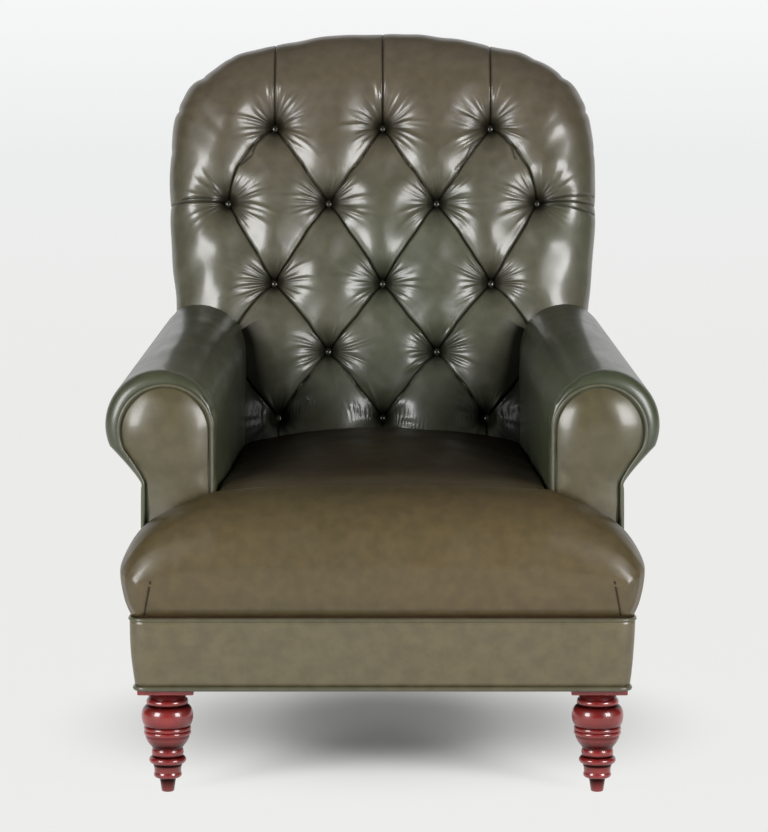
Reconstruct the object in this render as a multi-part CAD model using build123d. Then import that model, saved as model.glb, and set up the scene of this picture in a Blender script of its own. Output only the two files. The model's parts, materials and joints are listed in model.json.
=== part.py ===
from build123d import *
import math
import os

os.makedirs("parts", exist_ok=True)

# Driving dimensions, millimetres and degrees. Depths run back from the front of the border's lower edge.
seat_overhang = 18.0
leg_height = 147.0
border_height = 93.0
front_half_width = 325.5
frame_depth = 735.0
toe_angle = 2.5
fit_gap = 0.3
glue_gap = 0.02
overrun = 40.0
reach = 1600.0

# Timber sections
rail_thickness = 22.0
post_width = 30.0
post_depth_at_leg = 45.0
rear_foot_depth = 28.0
rear_leg_sweep = 26.0
rear_leg_mid_share = 0.4
post_shoulder = 20.0
crest_band = 62.0
lower_rail_height = 50.0
lower_rail_thickness = 22.0
lower_rail_drop = 60.0
corner_block_size = 66.0
corner_block_nose = 30.0
corner_block_height = 60.0
dowel_radius = 5.0
dowel_length = 56.0
dowel_spacing = 40.0
screw_radius = 2.2
screw_head_radius = 4.2
screw_head_height = 2.4
screw_length = 34.0

# Turned front leg: square plinth, then beads, rings, vase, collars and foot
leg_centre_x = 286.8
leg_centre_depth = 42.0
plinth_half_width = 37.2
plinth_height = 8.5
tenon_radius = 10.0
tenon_length = 45.0
neck_radius = 27.7
bead_radius = 29.8
bead_groove_radius = 28.6
bulb_radius = 34.0
bulb_foot_radius = 30.8
ring_radius = 31.6
ring_groove_radius = 29.4
vase_top_radius = 29.8
vase_waist_radius = 26.5
vase_foot_radius = 20.0
collar_groove_radius = 19.1
big_collar_radius = 24.8
cone_foot_radius = 17.9
small_collar_radius = 18.7
taper_radius = 13.1
foot_top_radius = 10.5
foot_radius = 8.6
leg_neck_height = 128.0
bead_groove_height = 118.0
bulb_foot_height = 88.8
ring_groove_height = 83.5
vase_top_height = 77.4
vase_waist_height = 67.3
vase_foot_height = 59.0
vase_collar_radius = 21.4
collar_groove_height = 48.2
collar_foot_height = 38.3
cone_waist_radius = 18.6
cone_waist_height = 33.7
cone_foot_height = 29.1
small_collar_top_height = 27.1
taper_height = 19.0
foot_top_height = 15.8
foot_bevel = 2.0

# Leather and cloth
leather = 2.0
welt_radius = 3.2
back_welt_width = 5.0
border_flare = 7.0
front_corner_radius = 12.0
rear_corner_radius = 6.0
cloth_thickness = 1.0
webbing_width = 50.0
webbing_thickness = 1.5
dust_cover_inset = 8.0
dust_cover_clearance = 1.0
rear_leg_clearance = 4.0
tack_radius = 4.0
tack_height = 1.2
tack_spacing = 110.0

# Inside back: a plane raked through the buttons, a padded crown in front of it
back_thickness_at_seat = 160.0
inside_back_height = 400.0
inside_back_rake = 14.0
back_crown = 24.0
back_rim_radius = 38.0
outside_back_rake = 6.4
hessian_rake = 7.9
post_thickness_at_seat = 55.0
crown_trim = 0.4

# Arched outline of the back, measured up the raked plane from the reference height
back_top = 637.0
arch_half_width = 224.0
arch_drop = 38.0
widest_half_width = 320.0
shoulder_set_in = 10.0
shoulder_drop = 92.0
widest_drop = 116.0
waist_set_in = 15.0
waist_drop = 160.0
hem_set_in = 8.0
hem_drop = 170.0
crest_half_width = 218.0
crest_arch_drop = 33.0
crest_drop = 31.0
crest_shoulder_drop = 52.0

# Buttons and pleats
button_pitch = 162.0
outer_button = 232.0
low_button = 155.0
hidden_pleat = 240.0
first_row = 480.0
second_row = 365.0
third_row = 243.0
fourth_row = 140.0
fifth_row = 40.0
crease_depth = 22.0
crease_spread = 58.0
crease_margin = 4.0
pleat_depth = 7.0
pleat_spread = 34.0
button_radius = 7.0
button_height = 5.0
button_sink = 33.0
well_angle = 45.0
button_clearance = 1.2
twine_radius = 1.0
twine_clearance = 0.3
wad_radius = 9.0
wad_height = 4.0

# Arms: a keyhole section, swept back, rising and toeing in
arm_front_depth = 74.0
arm_back_set_in = 95.0
roll_radius = 75.0
roll_centre_x = 296.5
roll_centre_height = 485.0
roll_back_radius = 66.0
roll_back_x = 267.0
roll_back_height = 541.0
arm_panel_x = 322.0
roll_edge_depth = 20.0
roll_edge_shares = ((0.0, 0.0), (0.2, 0.5), (0.55, 0.85), (1.0, 1.0))
facing_radius = 63.7
facing_centre_x = 289.0
facing_centre_height = 480.0
facing_panel_x = 320.0
facing_low = 300.0
facing_bulge = 14.0
facing_crown_shares = ((0.0, 0.0), (0.45, 0.1), (0.8, 0.4), (1.0, 1.0))
facing_soft_edge = 17.0
facing_welt_width = 3.0
facing_welt_height = 4.0
scroll_board_thickness = 18.0
scroll_board_inset = 8.0
arm_rail_width = 50.0
arm_rail_thickness = 22.0
arm_rail_top = 418.0
stump_thickness = 26.0
tack_rail_height = 25.0
tack_rail_width = 25.0
tack_rail_set_in = 8.0
tack_rail_lift = 22.0

# Seat: sections across the chair, from the front patch to the full ear, then between the arms
ear_back_depth = 57.0
seat_bulge_half_width = 347.0
seat_bulge_height = 290.0
seat_base_half_width = 321.0
seat_ear_half_width = 320.0
seat_ear_height = 354.0
seat_inner_half_width = 227.0
seat_inner_height = 403.0
seat_front_crown = 417.0
seat_corner = 30.0
swell_share = 0.45
swell_lift_share = 0.16
seat_front_shares = (
    (0.0, 0.12, 0.3, 0.0),
    (0.05, 0.36, 0.68, 0.4),
    (0.17, 0.6, 0.9, 0.72),
    (0.38, 0.78, 1.0, 0.92),
    (0.65, 0.91, 1.0, 1.0),
    (1.0, 1.0, 1.0, 1.0),
)
seat_crown = 441.0
seat_side_height = 403.0
seat_body_start = 50.0
seat_back_gap = 5.0
seat_body_shares = ((0.0, 0.3), (0.2, 0.7), (0.5, 1.0), (0.8, 0.86), (1.0, 0.55))
spring_ceiling = 300.0
spring_cavity_half_width = 185.0
spring_cavity_start = 60.0
spring_cavity_end = 520.0
spring_radius = 38.0
spring_wire_radius = 1.8
spring_turns = 6
spring_pitch = 118.0
spring_middle_depth = 300.0

# Values worked out from the driving dimensions
rail_top = leg_height + border_height
inside_back_depth = frame_depth - back_thickness_at_seat
post_front_depth = frame_depth - post_thickness_at_seat
rear_foot_start = frame_depth + rear_leg_sweep
arm_back_depth = frame_depth - arm_back_set_in
seat_body_end = inside_back_depth - seat_back_gap
arch_height = back_top - arch_drop
shoulder_height = arch_height - shoulder_drop
widest_height = shoulder_height - widest_drop
waist_height = widest_height - waist_drop
shoulder_half_width = widest_half_width - shoulder_set_in
waist_half_width = widest_half_width - waist_set_in
hem_half_width = waist_half_width - hem_set_in
crest_top = back_top - crest_drop
crest_arch_height = arch_height - crest_arch_drop
crest_shoulder_height = shoulder_height - crest_shoulder_drop
outside_back_depth = frame_depth + fit_gap
toe = math.tan(math.radians(toe_angle))
rake_sin = math.sin(math.radians(inside_back_rake))
rake_cos = math.cos(math.radians(inside_back_rake))
outside_slope = math.tan(math.radians(outside_back_rake))
hessian_slope = math.tan(math.radians(hessian_rake))
hessian_stack = webbing_thickness * 2 + cloth_thickness + fit_gap * 3


def along_normal(height, plane_depth, plane_height, slope):
    """How far in front of the button plane a raked plane lies, at a height up the button plane."""
    gap = inside_back_depth - plane_depth + height * rake_sin
    risen = (inside_back_height + height * rake_cos - plane_height) * slope
    return (gap - risen) / (rake_cos + rake_sin * slope)


top_behind = along_normal(back_top, outside_back_depth, rail_top, outside_slope)
rear_reach = inside_back_depth + back_top * rake_sin - top_behind * rake_cos + leather
front_y = (seat_overhang - rear_reach) / 2


def at(depth):
    """Y of a depth behind the border's front."""
    return front_y + depth


def side_x(depth):
    """Outer face of the toed side rail at a depth."""
    return front_half_width - toe * depth


inside_plane = Plane(
    origin=(0, at(inside_back_depth), inside_back_height),
    x_dir=(1, 0, 0),
    z_dir=(0, -rake_cos, rake_sin),
)


def raked_plane(depth, slope):
    """A plane across the chair, raked back, through the rail top at a depth, facing forward."""
    return Plane(origin=(0, at(depth), rail_top), x_dir=(1, 0, 0), z_dir=(0, -1, slope))


outside_plane = raked_plane(outside_back_depth, outside_slope)
hessian_plane = raked_plane(post_front_depth, hessian_slope)


def behind(plane, lift=0):
    """Everything behind a plane, to a far reach."""
    size = reach * 2
    block = Box(size, size, size, align=(Align.CENTER, Align.CENTER, Align.MAX))
    return plane * Pos(0, 0, lift) * block


def ahead(plane, lift=0):
    """Everything in front of a plane, to a far reach."""
    size = reach * 2
    block = Box(size, size, size, align=(Align.CENTER, Align.CENTER, Align.MIN))
    return plane * Pos(0, 0, lift) * block


def below(height):
    """Everything below a level."""
    return Pos(0, 0, height) * Box(reach, reach, reach, align=(Align.CENTER, Align.CENTER, Align.MAX))


def across(points):
    """Face in the XZ plane at Y zero from points (x, z)."""
    return make_face(Polyline([(x, 0, z) for x, z in points], close=True))


def plan_prism(points, low, high):
    """Upright prism from plan points (x, depth) between two levels."""
    outline = Polyline([(x, at(depth), low) for x, depth in points], close=True)
    return extrude(make_face(outline), amount=high - low, dir=(0, 0, 1))


def side_prism(edges, x_low, x_high):
    """Prism across the chair from edges drawn in the plane X zero."""
    face = make_face(edges)
    return Pos(x_low, 0, 0) * extrude(face, amount=x_high - x_low, dir=(1, 0, 0))


def rod(start, end, radius):
    """Round bar from one point to another."""
    axis = Vector(*end) - Vector(*start)
    bar = Cylinder(radius, axis.length, align=(Align.CENTER, Align.CENTER, Align.MIN))
    return Plane(origin=start, z_dir=axis) * bar


def left_of(shape):
    """The same piece on the other side of the chair."""
    return mirror(shape, about=Plane.YZ)


def group(pieces):
    """Several separate solids kept as one node."""
    return Compound(children=[solid for piece in pieces for solid in piece.solids()])


def save(shape, name):
    """Write one node."""
    export_step(shape, "parts/" + name + ".step")


# Seat frame
def side_rail():
    """Right side rail, from the front rail to the post."""
    start = rail_thickness
    end = post_front_depth
    points = [
        (side_x(start), start),
        (side_x(end), end),
        (side_x(end) - rail_thickness, end),
        (side_x(start) - rail_thickness, start),
    ]
    return plan_prism(points, leg_height, rail_top)


def front_rail():
    """Rail across the front, over the side rails' ends."""
    points = [
        (side_x(0), 0),
        (side_x(rail_thickness), rail_thickness),
        (-side_x(rail_thickness), rail_thickness),
        (-side_x(0), 0),
    ]
    rounded = extrude(frame_plan(leg_height, 0, False), amount=border_height, dir=(0, 0, 1))
    return plan_prism(points, leg_height, rail_top) & rounded


post_outer_x = side_x(frame_depth)
post_inner_x = post_outer_x - post_width


def back_rail():
    """Rail between the back posts."""
    start = frame_depth - rail_thickness
    points = [
        (post_inner_x, start),
        (post_inner_x, frame_depth),
        (-post_inner_x, frame_depth),
        (-post_inner_x, start),
    ]
    return plan_prism(points, leg_height, rail_top)


def raked_line(depth, slope, height):
    """Point on a raked line at a height."""
    return (0, at(depth + (height - rail_top) * slope), height)


def back_post():
    """Right post: raked above the seat, with the rear leg swept back below it."""
    crest_low = inside_back_height + crest_shoulder_height
    leg_front = frame_depth - post_depth_at_leg
    heel = rear_foot_start + rear_foot_depth
    half_height = leg_height / 2
    front_mid = leg_front + (rear_foot_start - leg_front) * rear_leg_mid_share
    rear_mid = frame_depth + (heel - frame_depth) * rear_leg_mid_share
    top_rear = raked_line(frame_depth, outside_slope, crest_low + overrun)
    top_front = raked_line(post_front_depth, hessian_slope, crest_low + overrun)
    edges = [
        Line((0, at(rear_foot_start), 0), (0, at(heel), 0)),
        ThreePointArc((0, at(heel), 0), (0, at(rear_mid), half_height), (0, at(frame_depth), leg_height)),
        Line((0, at(frame_depth), leg_height), (0, at(frame_depth), rail_top)),
        Line((0, at(frame_depth), rail_top), top_rear),
        Line(top_rear, top_front),
        Line(top_front, (0, at(post_front_depth), rail_top)),
        Line((0, at(post_front_depth), rail_top), (0, at(post_front_depth), leg_height + post_shoulder)),
        Line((0, at(post_front_depth), leg_height + post_shoulder), (0, at(leg_front), leg_height)),
        ThreePointArc(
            (0, at(leg_front), leg_height),
            (0, at(front_mid), half_height),
            (0, at(rear_foot_start), 0),
        ),
    ]
    post = side_prism(edges, post_inner_x, post_outer_x)
    crest_seat = inside_plane * Pos(0, crest_shoulder_height, 0) * Box(
        reach, reach, reach, align=(Align.CENTER, Align.MIN, Align.CENTER)
    )
    return post - crest_seat


def crest_outline():
    """Outline of the space that the back's timber fills, in the button plane."""
    side_offset = post_outer_x + glue_gap
    side = Line((side_offset, -hem_drop - overrun), (side_offset, crest_shoulder_height))
    top = TangentArc((0, crest_top), (crest_half_width, crest_arch_height), tangent=(1, 0))
    shoulder = TangentArc(top @ 1, side @ 1, tangent=top % 1)
    base = Line((0, -hem_drop - overrun), side @ 0)
    half = [base, side, shoulder, top]
    return make_face(half + [mirror(edge, about=Plane.YZ) for edge in half])


def crest_space():
    """Upright prism of the timber outline, right through the back."""
    return inside_plane * Pos(0, 0, -reach / 2) * extrude(crest_outline(), amount=reach)


def crest_rail():
    """Arched rail on the post tops."""
    band_top = crest_top - crest_band
    inner = ThreePointArc(
        (-post_inner_x, crest_shoulder_height), (0, band_top), (post_inner_x, crest_shoulder_height)
    )
    low = -hem_drop - overrun * 2
    sides = Polyline(
        (post_inner_x, crest_shoulder_height), (reach / 2, crest_shoulder_height), (reach / 2, low),
        (-reach / 2, low), (-reach / 2, crest_shoulder_height), (-post_inner_x, crest_shoulder_height)
    )
    opening_face = make_face([inner] + list(sides.edges()))
    opening = inside_plane * Pos(0, 0, -reach / 2) * extrude(opening_face, amount=reach)
    crest = crest_space() - opening
    crest = crest - ahead(hessian_plane)
    return crest - behind(outside_plane, (outside_back_depth - frame_depth))


def lower_back_rail():
    """Rail between the posts that holds the foot of the inside back."""
    high = rail_top + lower_rail_drop + lower_rail_height
    low = rail_top + lower_rail_drop
    front_high = raked_line(post_front_depth, hessian_slope, high)
    front_low = raked_line(post_front_depth, hessian_slope, low)
    rear_high = (0, front_high[1] + lower_rail_thickness, high)
    rear_low = (0, front_low[1] + lower_rail_thickness, low)
    edges = Polyline(front_high, front_low, rear_low, rear_high, close=True).edges()
    return side_prism(list(edges), -post_inner_x, post_inner_x)


def front_corner_block():
    """Right front block, bored for the leg's tenon."""
    start = rail_thickness + fit_gap
    end = start + corner_block_size

    def inner(depth):
        return side_x(depth) - rail_thickness - fit_gap

    points = [
        (inner(start), start),
        (inner(end), end),
        (inner(end) - corner_block_nose, end),
        (inner(start) - corner_block_size, start + corner_block_nose),
        (inner(start) - corner_block_size, start),
    ]
    block = plan_prism(points, leg_height, leg_height + corner_block_height)
    bore = Pos(leg_centre_x, at(leg_centre_depth), leg_height) * Cylinder(
        tenon_radius + glue_gap, corner_block_height * 2, align=(Align.CENTER, Align.CENTER, Align.CENTER)
    )
    return block - bore


def rear_corner_block():
    """Right rear block, between the post and the back rail."""
    end = frame_depth - rail_thickness - fit_gap
    x_out = post_inner_x - fit_gap
    start = post_front_depth
    points = [
        (x_out, end),
        (x_out - corner_block_size, end),
        (x_out - corner_block_size, (start + end) / 2),
        (x_out - corner_block_nose, start),
        (x_out, start),
    ]
    return plan_prism(points, leg_height, leg_height + corner_block_height)


def screw(start, direction):
    """Countersunk screw with its head's top at start."""
    axis = Vector(*direction).normalized()
    place = Plane(origin=start, z_dir=axis)
    profile = Polyline(
        (0, 0),
        (screw_head_radius, 0),
        (screw_radius, screw_head_height),
        (screw_radius, screw_length),
        (0, screw_length),
        close=True,
    )
    return place * revolve(Plane.XZ * make_face(profile), axis=Axis.Z)


def block_screws():
    """Screws of the right corner blocks."""
    height = leg_height + corner_block_height * 2 / 3
    wall = corner_block_size - corner_block_nose / 2
    front_depth = rail_thickness + fit_gap + corner_block_nose * 2 / 3
    front_start = (side_x(0) - rail_thickness - wall, at(front_depth), height)
    side_start_x = side_x(wall) - rail_thickness - corner_block_nose * 2 / 3
    side_start = (side_start_x, at(rail_thickness + wall), height)
    rear_depth = frame_depth - rail_thickness - screw_length / 2
    rear_start = (post_inner_x - corner_block_size + corner_block_nose / 2, at(rear_depth), height)
    return [
        screw(front_start, (0, -1, 0)),
        screw(side_start, (1, 0, 0)),
        screw(rear_start, (0, 1, 0)),
    ]


def dowels():
    """Dowels of the right-hand rail joints."""
    middle = leg_height + border_height / 2
    bars = []
    for height in (middle - dowel_spacing / 2, middle + dowel_spacing / 2):
        front_x = side_x(rail_thickness) - rail_thickness / 2
        start = rail_thickness - dowel_length / 4
        end = start + dowel_length
        bars.append(rod((front_x, at(start), height), (front_x, at(end), height), dowel_radius))
        rear_x = side_x(post_front_depth) - rail_thickness / 2
        start = post_front_depth - dowel_length / 2
        end = start + dowel_length
        bars.append(rod((rear_x, at(start), height), (rear_x, at(end), height), dowel_radius))
        depth = frame_depth - rail_thickness / 2
        start_x = post_inner_x - dowel_length / 2
        end_x = post_inner_x + post_width / 2
        bars.append(rod((start_x, at(depth), height), (end_x, at(depth), height), dowel_radius))
    return bars


def front_leg():
    """Turned leg with a square plinth and a round tenon."""
    plinth_low = leg_height - plinth_height
    tenon_top = leg_height + tenon_length
    outline = [
        Line((0, 0), (foot_radius - foot_bevel, 0)),
        Line((foot_radius - foot_bevel, 0), (foot_radius, foot_bevel)),
        Line((foot_radius, foot_bevel), (foot_top_radius, foot_top_height)),
        Line((foot_top_radius, foot_top_height), (taper_radius, taper_height)),
        Line((cone_foot_radius, small_collar_top_height), (cone_foot_radius, cone_foot_height)),
        ThreePointArc(
            (cone_foot_radius, cone_foot_height),
            (cone_waist_radius, cone_waist_height),
            (vase_foot_radius, collar_foot_height),
        ),
        ThreePointArc(
            (vase_foot_radius, vase_foot_height),
            (vase_waist_radius, vase_waist_height),
            (vase_top_radius, vase_top_height),
        ),
        Line((neck_radius, leg_neck_height), (neck_radius, plinth_low)),
        Line((neck_radius, plinth_low), (tenon_radius, plinth_low)),
        Line((tenon_radius, plinth_low), (tenon_radius, tenon_top)),
        Line((tenon_radius, tenon_top), (0, tenon_top)),
        Line((0, tenon_top), (0, 0)),
    ]
    beads = [
        (taper_radius, taper_height, small_collar_radius, cone_foot_radius, small_collar_top_height),
        (vase_foot_radius, collar_foot_height, big_collar_radius, collar_groove_radius, collar_groove_height),
        (collar_groove_radius, collar_groove_height, vase_collar_radius, vase_foot_radius, vase_foot_height),
        (vase_top_radius, vase_top_height, ring_radius, ring_groove_radius, ring_groove_height),
        (ring_groove_radius, ring_groove_height, ring_radius, bulb_foot_radius, bulb_foot_height),
        (bulb_foot_radius, bulb_foot_height, bulb_radius, bead_groove_radius, bead_groove_height),
        (bead_groove_radius, bead_groove_height, bead_radius, neck_radius, leg_neck_height),
    ]
    for low_radius, low, belly, high_radius, high in beads:
        outline.append(ThreePointArc((low_radius, low), (belly, (low + high) / 2), (high_radius, high)))
    turned = revolve(Plane.XZ * make_face(outline), axis=Axis.Z)
    side = plinth_half_width * 2
    plinth = Box(side, side, plinth_height, align=(Align.CENTER, Align.CENTER, Align.MIN))
    plinth = Pos(0, 0, plinth_low) * plinth
    return Pos(leg_centre_x, at(leg_centre_depth), 0) * (turned + plinth)


# Border, welts and dust cover
def frame_plan(height, growth, rounding):
    """Plan outline of the seat timber at a level, grown outwards, with its corners rounded."""
    points = [(side_x(0), 0), (side_x(frame_depth), frame_depth)]
    corners = points + [(-x, depth) for x, depth in reversed(points)]
    face = make_face(Polyline([(x, at(depth), height) for x, depth in corners], close=True))
    if growth != 0:
        face = make_face(offset(face, amount=growth, kind=Kind.INTERSECTION).edges())
    front = face.vertices().sort_by(Axis.Y)[:2]
    face = fillet(front, radius=front_corner_radius + growth)
    if rounding:
        face = fillet(face.vertices().sort_by(Axis.Y)[-2:], radius=rear_corner_radius)
    return face


def border_band():
    """Leather band round the seat timber, flared towards the top."""
    low = leg_height + welt_radius
    lower = frame_plan(low, fit_gap + leather, True)
    upper = frame_plan(rail_top, fit_gap + leather + border_flare, True)
    inside = extrude(frame_plan(leg_height, fit_gap, False), amount=border_height * 2, dir=(0, 0, 1))
    return loft([lower, upper], ruled=True) - inside


def border_welt(height, growth):
    """Welt round the border at a level."""
    wire = frame_plan(height, growth, True).wires()[0]
    start = wire @ 0
    section = Plane(origin=start, z_dir=wire % 0) * Circle(welt_radius)
    return sweep(section, path=wire)


def seat_webbing(lengthwise):
    """Webbing strips under the rails, one layer."""
    strips = []
    inset = rail_thickness / 2
    for row in (-1, 0, 1):
        top = leg_height - fit_gap
        if lengthwise:
            x = row * spring_pitch
            points = [
                (x - webbing_width / 2, inset), (x + webbing_width / 2, inset),
                (x + webbing_width / 2, frame_depth - inset), (x - webbing_width / 2, frame_depth - inset),
            ]
        else:
            top = top - webbing_thickness - fit_gap
            depth = spring_middle_depth + row * spring_pitch
            low = depth - webbing_width / 2
            high = depth + webbing_width / 2
            end = side_x(high) - inset
            points = [(-end, low), (end, low), (end, high), (-end, high)]
        strips.append(plan_prism(points, top - webbing_thickness, top))
    return group(strips)


def seat_springs():
    """Nine coil springs standing on the crossed webbing."""
    low = leg_height + fit_gap + spring_wire_radius
    high = spring_ceiling - cloth_thickness - fit_gap * 3 - spring_wire_radius
    coil = Helix(pitch=(high - low) / spring_turns, height=high - low, radius=spring_radius)
    section = Plane(origin=coil @ 0, z_dir=coil % 0) * Circle(spring_wire_radius)
    spring = sweep(section, path=coil, is_frenet=True)
    places = [(across_row, along_row) for across_row in (-1, 0, 1) for along_row in (-1, 0, 1)]
    return group(
        Pos(i * spring_pitch, at(spring_middle_depth + j * spring_pitch), low) * spring for i, j in places
    )


def seat_hessian():
    """Hessian over the springs."""
    x = spring_cavity_half_width - fit_gap
    start = spring_cavity_start + fit_gap
    end = spring_cavity_end - fit_gap
    high = spring_ceiling - fit_gap
    return plan_prism([(-x, start), (x, start), (x, end), (-x, end)], high - cloth_thickness, high)


dust_cover_top = leg_height - fit_gap * 3 - webbing_thickness * 2


def dust_cover():
    """Black cloth under the seat, cut round the legs."""
    plan = frame_plan(dust_cover_top - cloth_thickness, -dust_cover_inset, False)
    sheet = extrude(plan, amount=cloth_thickness, dir=(0, 0, 1))
    hole = (plinth_half_width + dust_cover_clearance) * 2
    front = Pos(leg_centre_x, at(leg_centre_depth), dust_cover_top) * Box(hole, hole, plinth_height)
    depth = frame_depth - post_depth_at_leg / 2
    rear = Pos(post_inner_x + post_width / 2, at(depth), dust_cover_top) * Box(
        post_width + dust_cover_clearance * 2, post_depth_at_leg + rear_leg_clearance * 2, plinth_height
    )
    for cut in (front, rear):
        sheet = sheet - cut - left_of(cut)
    return sheet


def dust_cover_tacks():
    """Tack heads along the front, back and sides of the dust cover."""
    low = dust_cover_top - cloth_thickness
    places = []
    edge = dust_cover_inset + tack_radius * 2
    across_count = round(leg_centre_x / tack_spacing)
    for i in range(-across_count + 1, across_count):
        places.append((i * tack_spacing, edge))
        places.append((i * tack_spacing, frame_depth - edge))
    along_count = round((frame_depth - leg_centre_depth * 4) / tack_spacing)
    for j in range(along_count + 1):
        depth = leg_centre_depth * 3 + j * tack_spacing
        x = side_x(depth) - edge
        places.append((x, depth))
        places.append((-x, depth))
    head = Cylinder(tack_radius, tack_height, align=(Align.CENTER, Align.CENTER, Align.MAX))
    return group(Pos(x, at(depth), low) * head for x, depth in places)


# Tufted back, drawn in the button plane: x across, y up the rake, z towards the sitter
def back_outline(growth):
    """Arched outline of the back."""
    low = -hem_drop - overrun
    arch = TangentArc((0, back_top), (arch_half_width, arch_height), tangent=(1, 0))
    shoulder = TangentArc(arch @ 1, (shoulder_half_width, shoulder_height), tangent=arch % 1)
    side = TangentArc(shoulder @ 1, (widest_half_width, widest_height), tangent=shoulder % 1)
    flank = TangentArc(side @ 1, (waist_half_width, waist_height), tangent=side % 1)
    lean = math.asin(-(flank % 1).X)
    hem_height = waist_height - (waist_half_width - hem_half_width) / math.tan(lean / 2)
    tuck = TangentArc(flank @ 1, (hem_half_width, hem_height), tangent=flank % 1)
    fall = tuck % 1
    hem = Line(tuck @ 1, tuck @ 1 + fall * ((low - (tuck @ 1).Y) / fall.Y))
    base = Line(hem @ 1, (0, low))
    half = [arch, shoulder, side, flank, tuck, hem, base]
    face = make_face(half + [mirror(edge, about=Plane.YZ) for edge in half])
    if growth != 0:
        face = make_face(offset(face, amount=growth, kind=Kind.INTERSECTION).edges())
    return face


back_reach = back_top


def back_slab(growth):
    """The back's padded slab with a rolled rim, without tufts."""
    slab = Pos(0, 0, -back_reach) * extrude(
        back_outline(growth), amount=back_reach + back_crown - crown_trim + growth
    )
    front = slab.faces().sort_by(Axis.Z)[-1]
    rim = front.edges().filter_by(lambda edge: max((edge @ 0).Y, (edge @ 1).Y) > -hem_drop)
    return fillet(rim, radius=back_rim_radius + growth)


def rounding(start, end, depth, spread, inset):
    """Space above the leather along one crease; the pillow lies left of start to end."""
    along = (Vector(*end) - Vector(*start)).normalized()
    inward = Vector(-along.Y, along.X, 0)
    radius = (spread * spread + depth * depth) / (2 * depth)

    def level(s):
        return back_crown - radius + math.sqrt((radius - inset) ** 2 - (spread - s) ** 2)

    top = back_crown + overrun
    profile = [
        ThreePointArc(
            (-crease_margin, level(-crease_margin)),
            (spread / 2, level(spread / 2)),
            (spread, level(spread)),
        ),
        Line((spread, level(spread)), (spread, top)),
        Line((spread, top), (-crease_margin, top)),
        Line((-crease_margin, top), (-crease_margin, level(-crease_margin))),
    ]
    middle = (Vector(*start) + Vector(*end)) / 2
    place = Plane(origin=middle - along * back_reach, x_dir=inward, z_dir=along)
    return extrude(place * make_face(profile), amount=back_reach * 2, dir=along)


def pillow(corners, kinds, inset):
    """One cell of the tufting: an upright prism less the rounding along each of its creases."""
    outline = Polyline([(x, y, -back_reach) for x, y in corners], close=True)
    cell = extrude(make_face(outline), amount=back_reach + back_crown + overrun / 2, dir=(0, 0, 1))
    cuts = []
    for index, kind in enumerate(kinds):
        start = corners[index]
        end = corners[(index + 1) % len(corners)]
        if kind == "crease":
            cuts.append(rounding(start, end, crease_depth, crease_spread, inset))
        if kind == "pleat":
            cuts.append(rounding(start, end, pleat_depth, pleat_spread, inset))
    return cell.cut(*cuts)


pitch = button_pitch
half_pitch = pitch / 2
buttons = (
    [(x, first_row) for x in (-pitch, 0, pitch)]
    + [(x, second_row) for x in (-outer_button, -half_pitch, half_pitch, outer_button)]
    + [(x, third_row) for x in (-pitch, 0, pitch)]
    + [(x, fourth_row) for x in (-half_pitch, half_pitch)]
    + [(x, fifth_row) for x in (-low_button, 0, low_button)]
)
sky = back_top + overrun
ground = -hem_drop - overrun * 2
far = widest_half_width + overrun
diamond = ["crease"] * 4
centre_cells = [
    ([(0, third_row), (half_pitch, second_row), (0, first_row), (-half_pitch, second_row)], diamond),
    ([(0, fifth_row), (half_pitch, fourth_row), (0, third_row), (-half_pitch, fourth_row)], diamond),
]
right_cells = [
    (
        [(0, first_row), (half_pitch, second_row), (pitch, first_row), (pitch, sky), (0, sky)],
        ["crease", "crease", "pleat", "none", "pleat"],
    ),
    (
        [(pitch, first_row), (outer_button, second_row), (far, second_row), (far, sky), (pitch, sky)],
        ["crease", "pleat", "none", "none", "pleat"],
    ),
    (
        [(pitch, third_row), (outer_button, second_row), (pitch, first_row), (half_pitch, second_row)],
        diamond,
    ),
    ([(half_pitch, fourth_row), (pitch, third_row), (half_pitch, second_row), (0, third_row)], diamond),
    (
        [
            (hidden_pleat, fourth_row),
            (far, fourth_row),
            (far, second_row),
            (outer_button, second_row),
            (pitch, third_row),
        ],
        ["none", "none", "pleat", "crease", "crease"],
    ),
    (
        [(low_button, fifth_row), (hidden_pleat, fourth_row), (pitch, third_row), (half_pitch, fourth_row)],
        diamond,
    ),
    (
        [(0, fifth_row), (0, ground), (low_button, ground), (low_button, fifth_row), (half_pitch, fourth_row)],
        ["pleat", "none", "pleat", "crease", "crease"],
    ),
    (
        [
            (low_button, fifth_row),
            (low_button, ground),
            (far, ground),
            (far, fourth_row),
            (hidden_pleat, fourth_row),
        ],
        ["pleat", "none", "none", "none", "crease"],
    ),
]


def button_wells(inset):
    """Funnels down to the buttons."""
    floor = back_crown - button_sink - inset
    radius = button_radius + button_clearance + inset * math.tan(math.radians(well_angle / 2))
    height = button_sink + inset + overrun
    mouth = radius + height * math.tan(math.radians(well_angle))
    funnel = Cone(radius, mouth, height, align=(Align.CENTER, Align.CENTER, Align.MIN))
    return [Pos(x, y, floor) * funnel for x, y in buttons]


def twine_holes():
    """Holes for the button twines."""
    hole = Cylinder(twine_radius + twine_clearance, back_reach, align=(Align.CENTER, Align.CENTER, Align.MAX))
    return [Pos(x, y, back_crown) * hole for x, y in buttons]


def tufted(inset):
    """The back's soft body in place, every face moved in by inset."""
    right = [pillow(corners, kinds, inset) for corners, kinds in right_cells]
    cells = [pillow(corners, kinds, inset) for corners, kinds in centre_cells]
    cells = cells + right + [mirror(cell, about=Plane.YZ) for cell in right]
    body = cells[0].fuse(*cells[1:])
    body = back_slab(-inset) & body
    body = Part() + body.solids()[0]
    body = body.cut(*button_wells(inset))
    body = inside_plane * body
    return body.cut(behind(outside_plane), below(rail_top + fit_gap))


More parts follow.
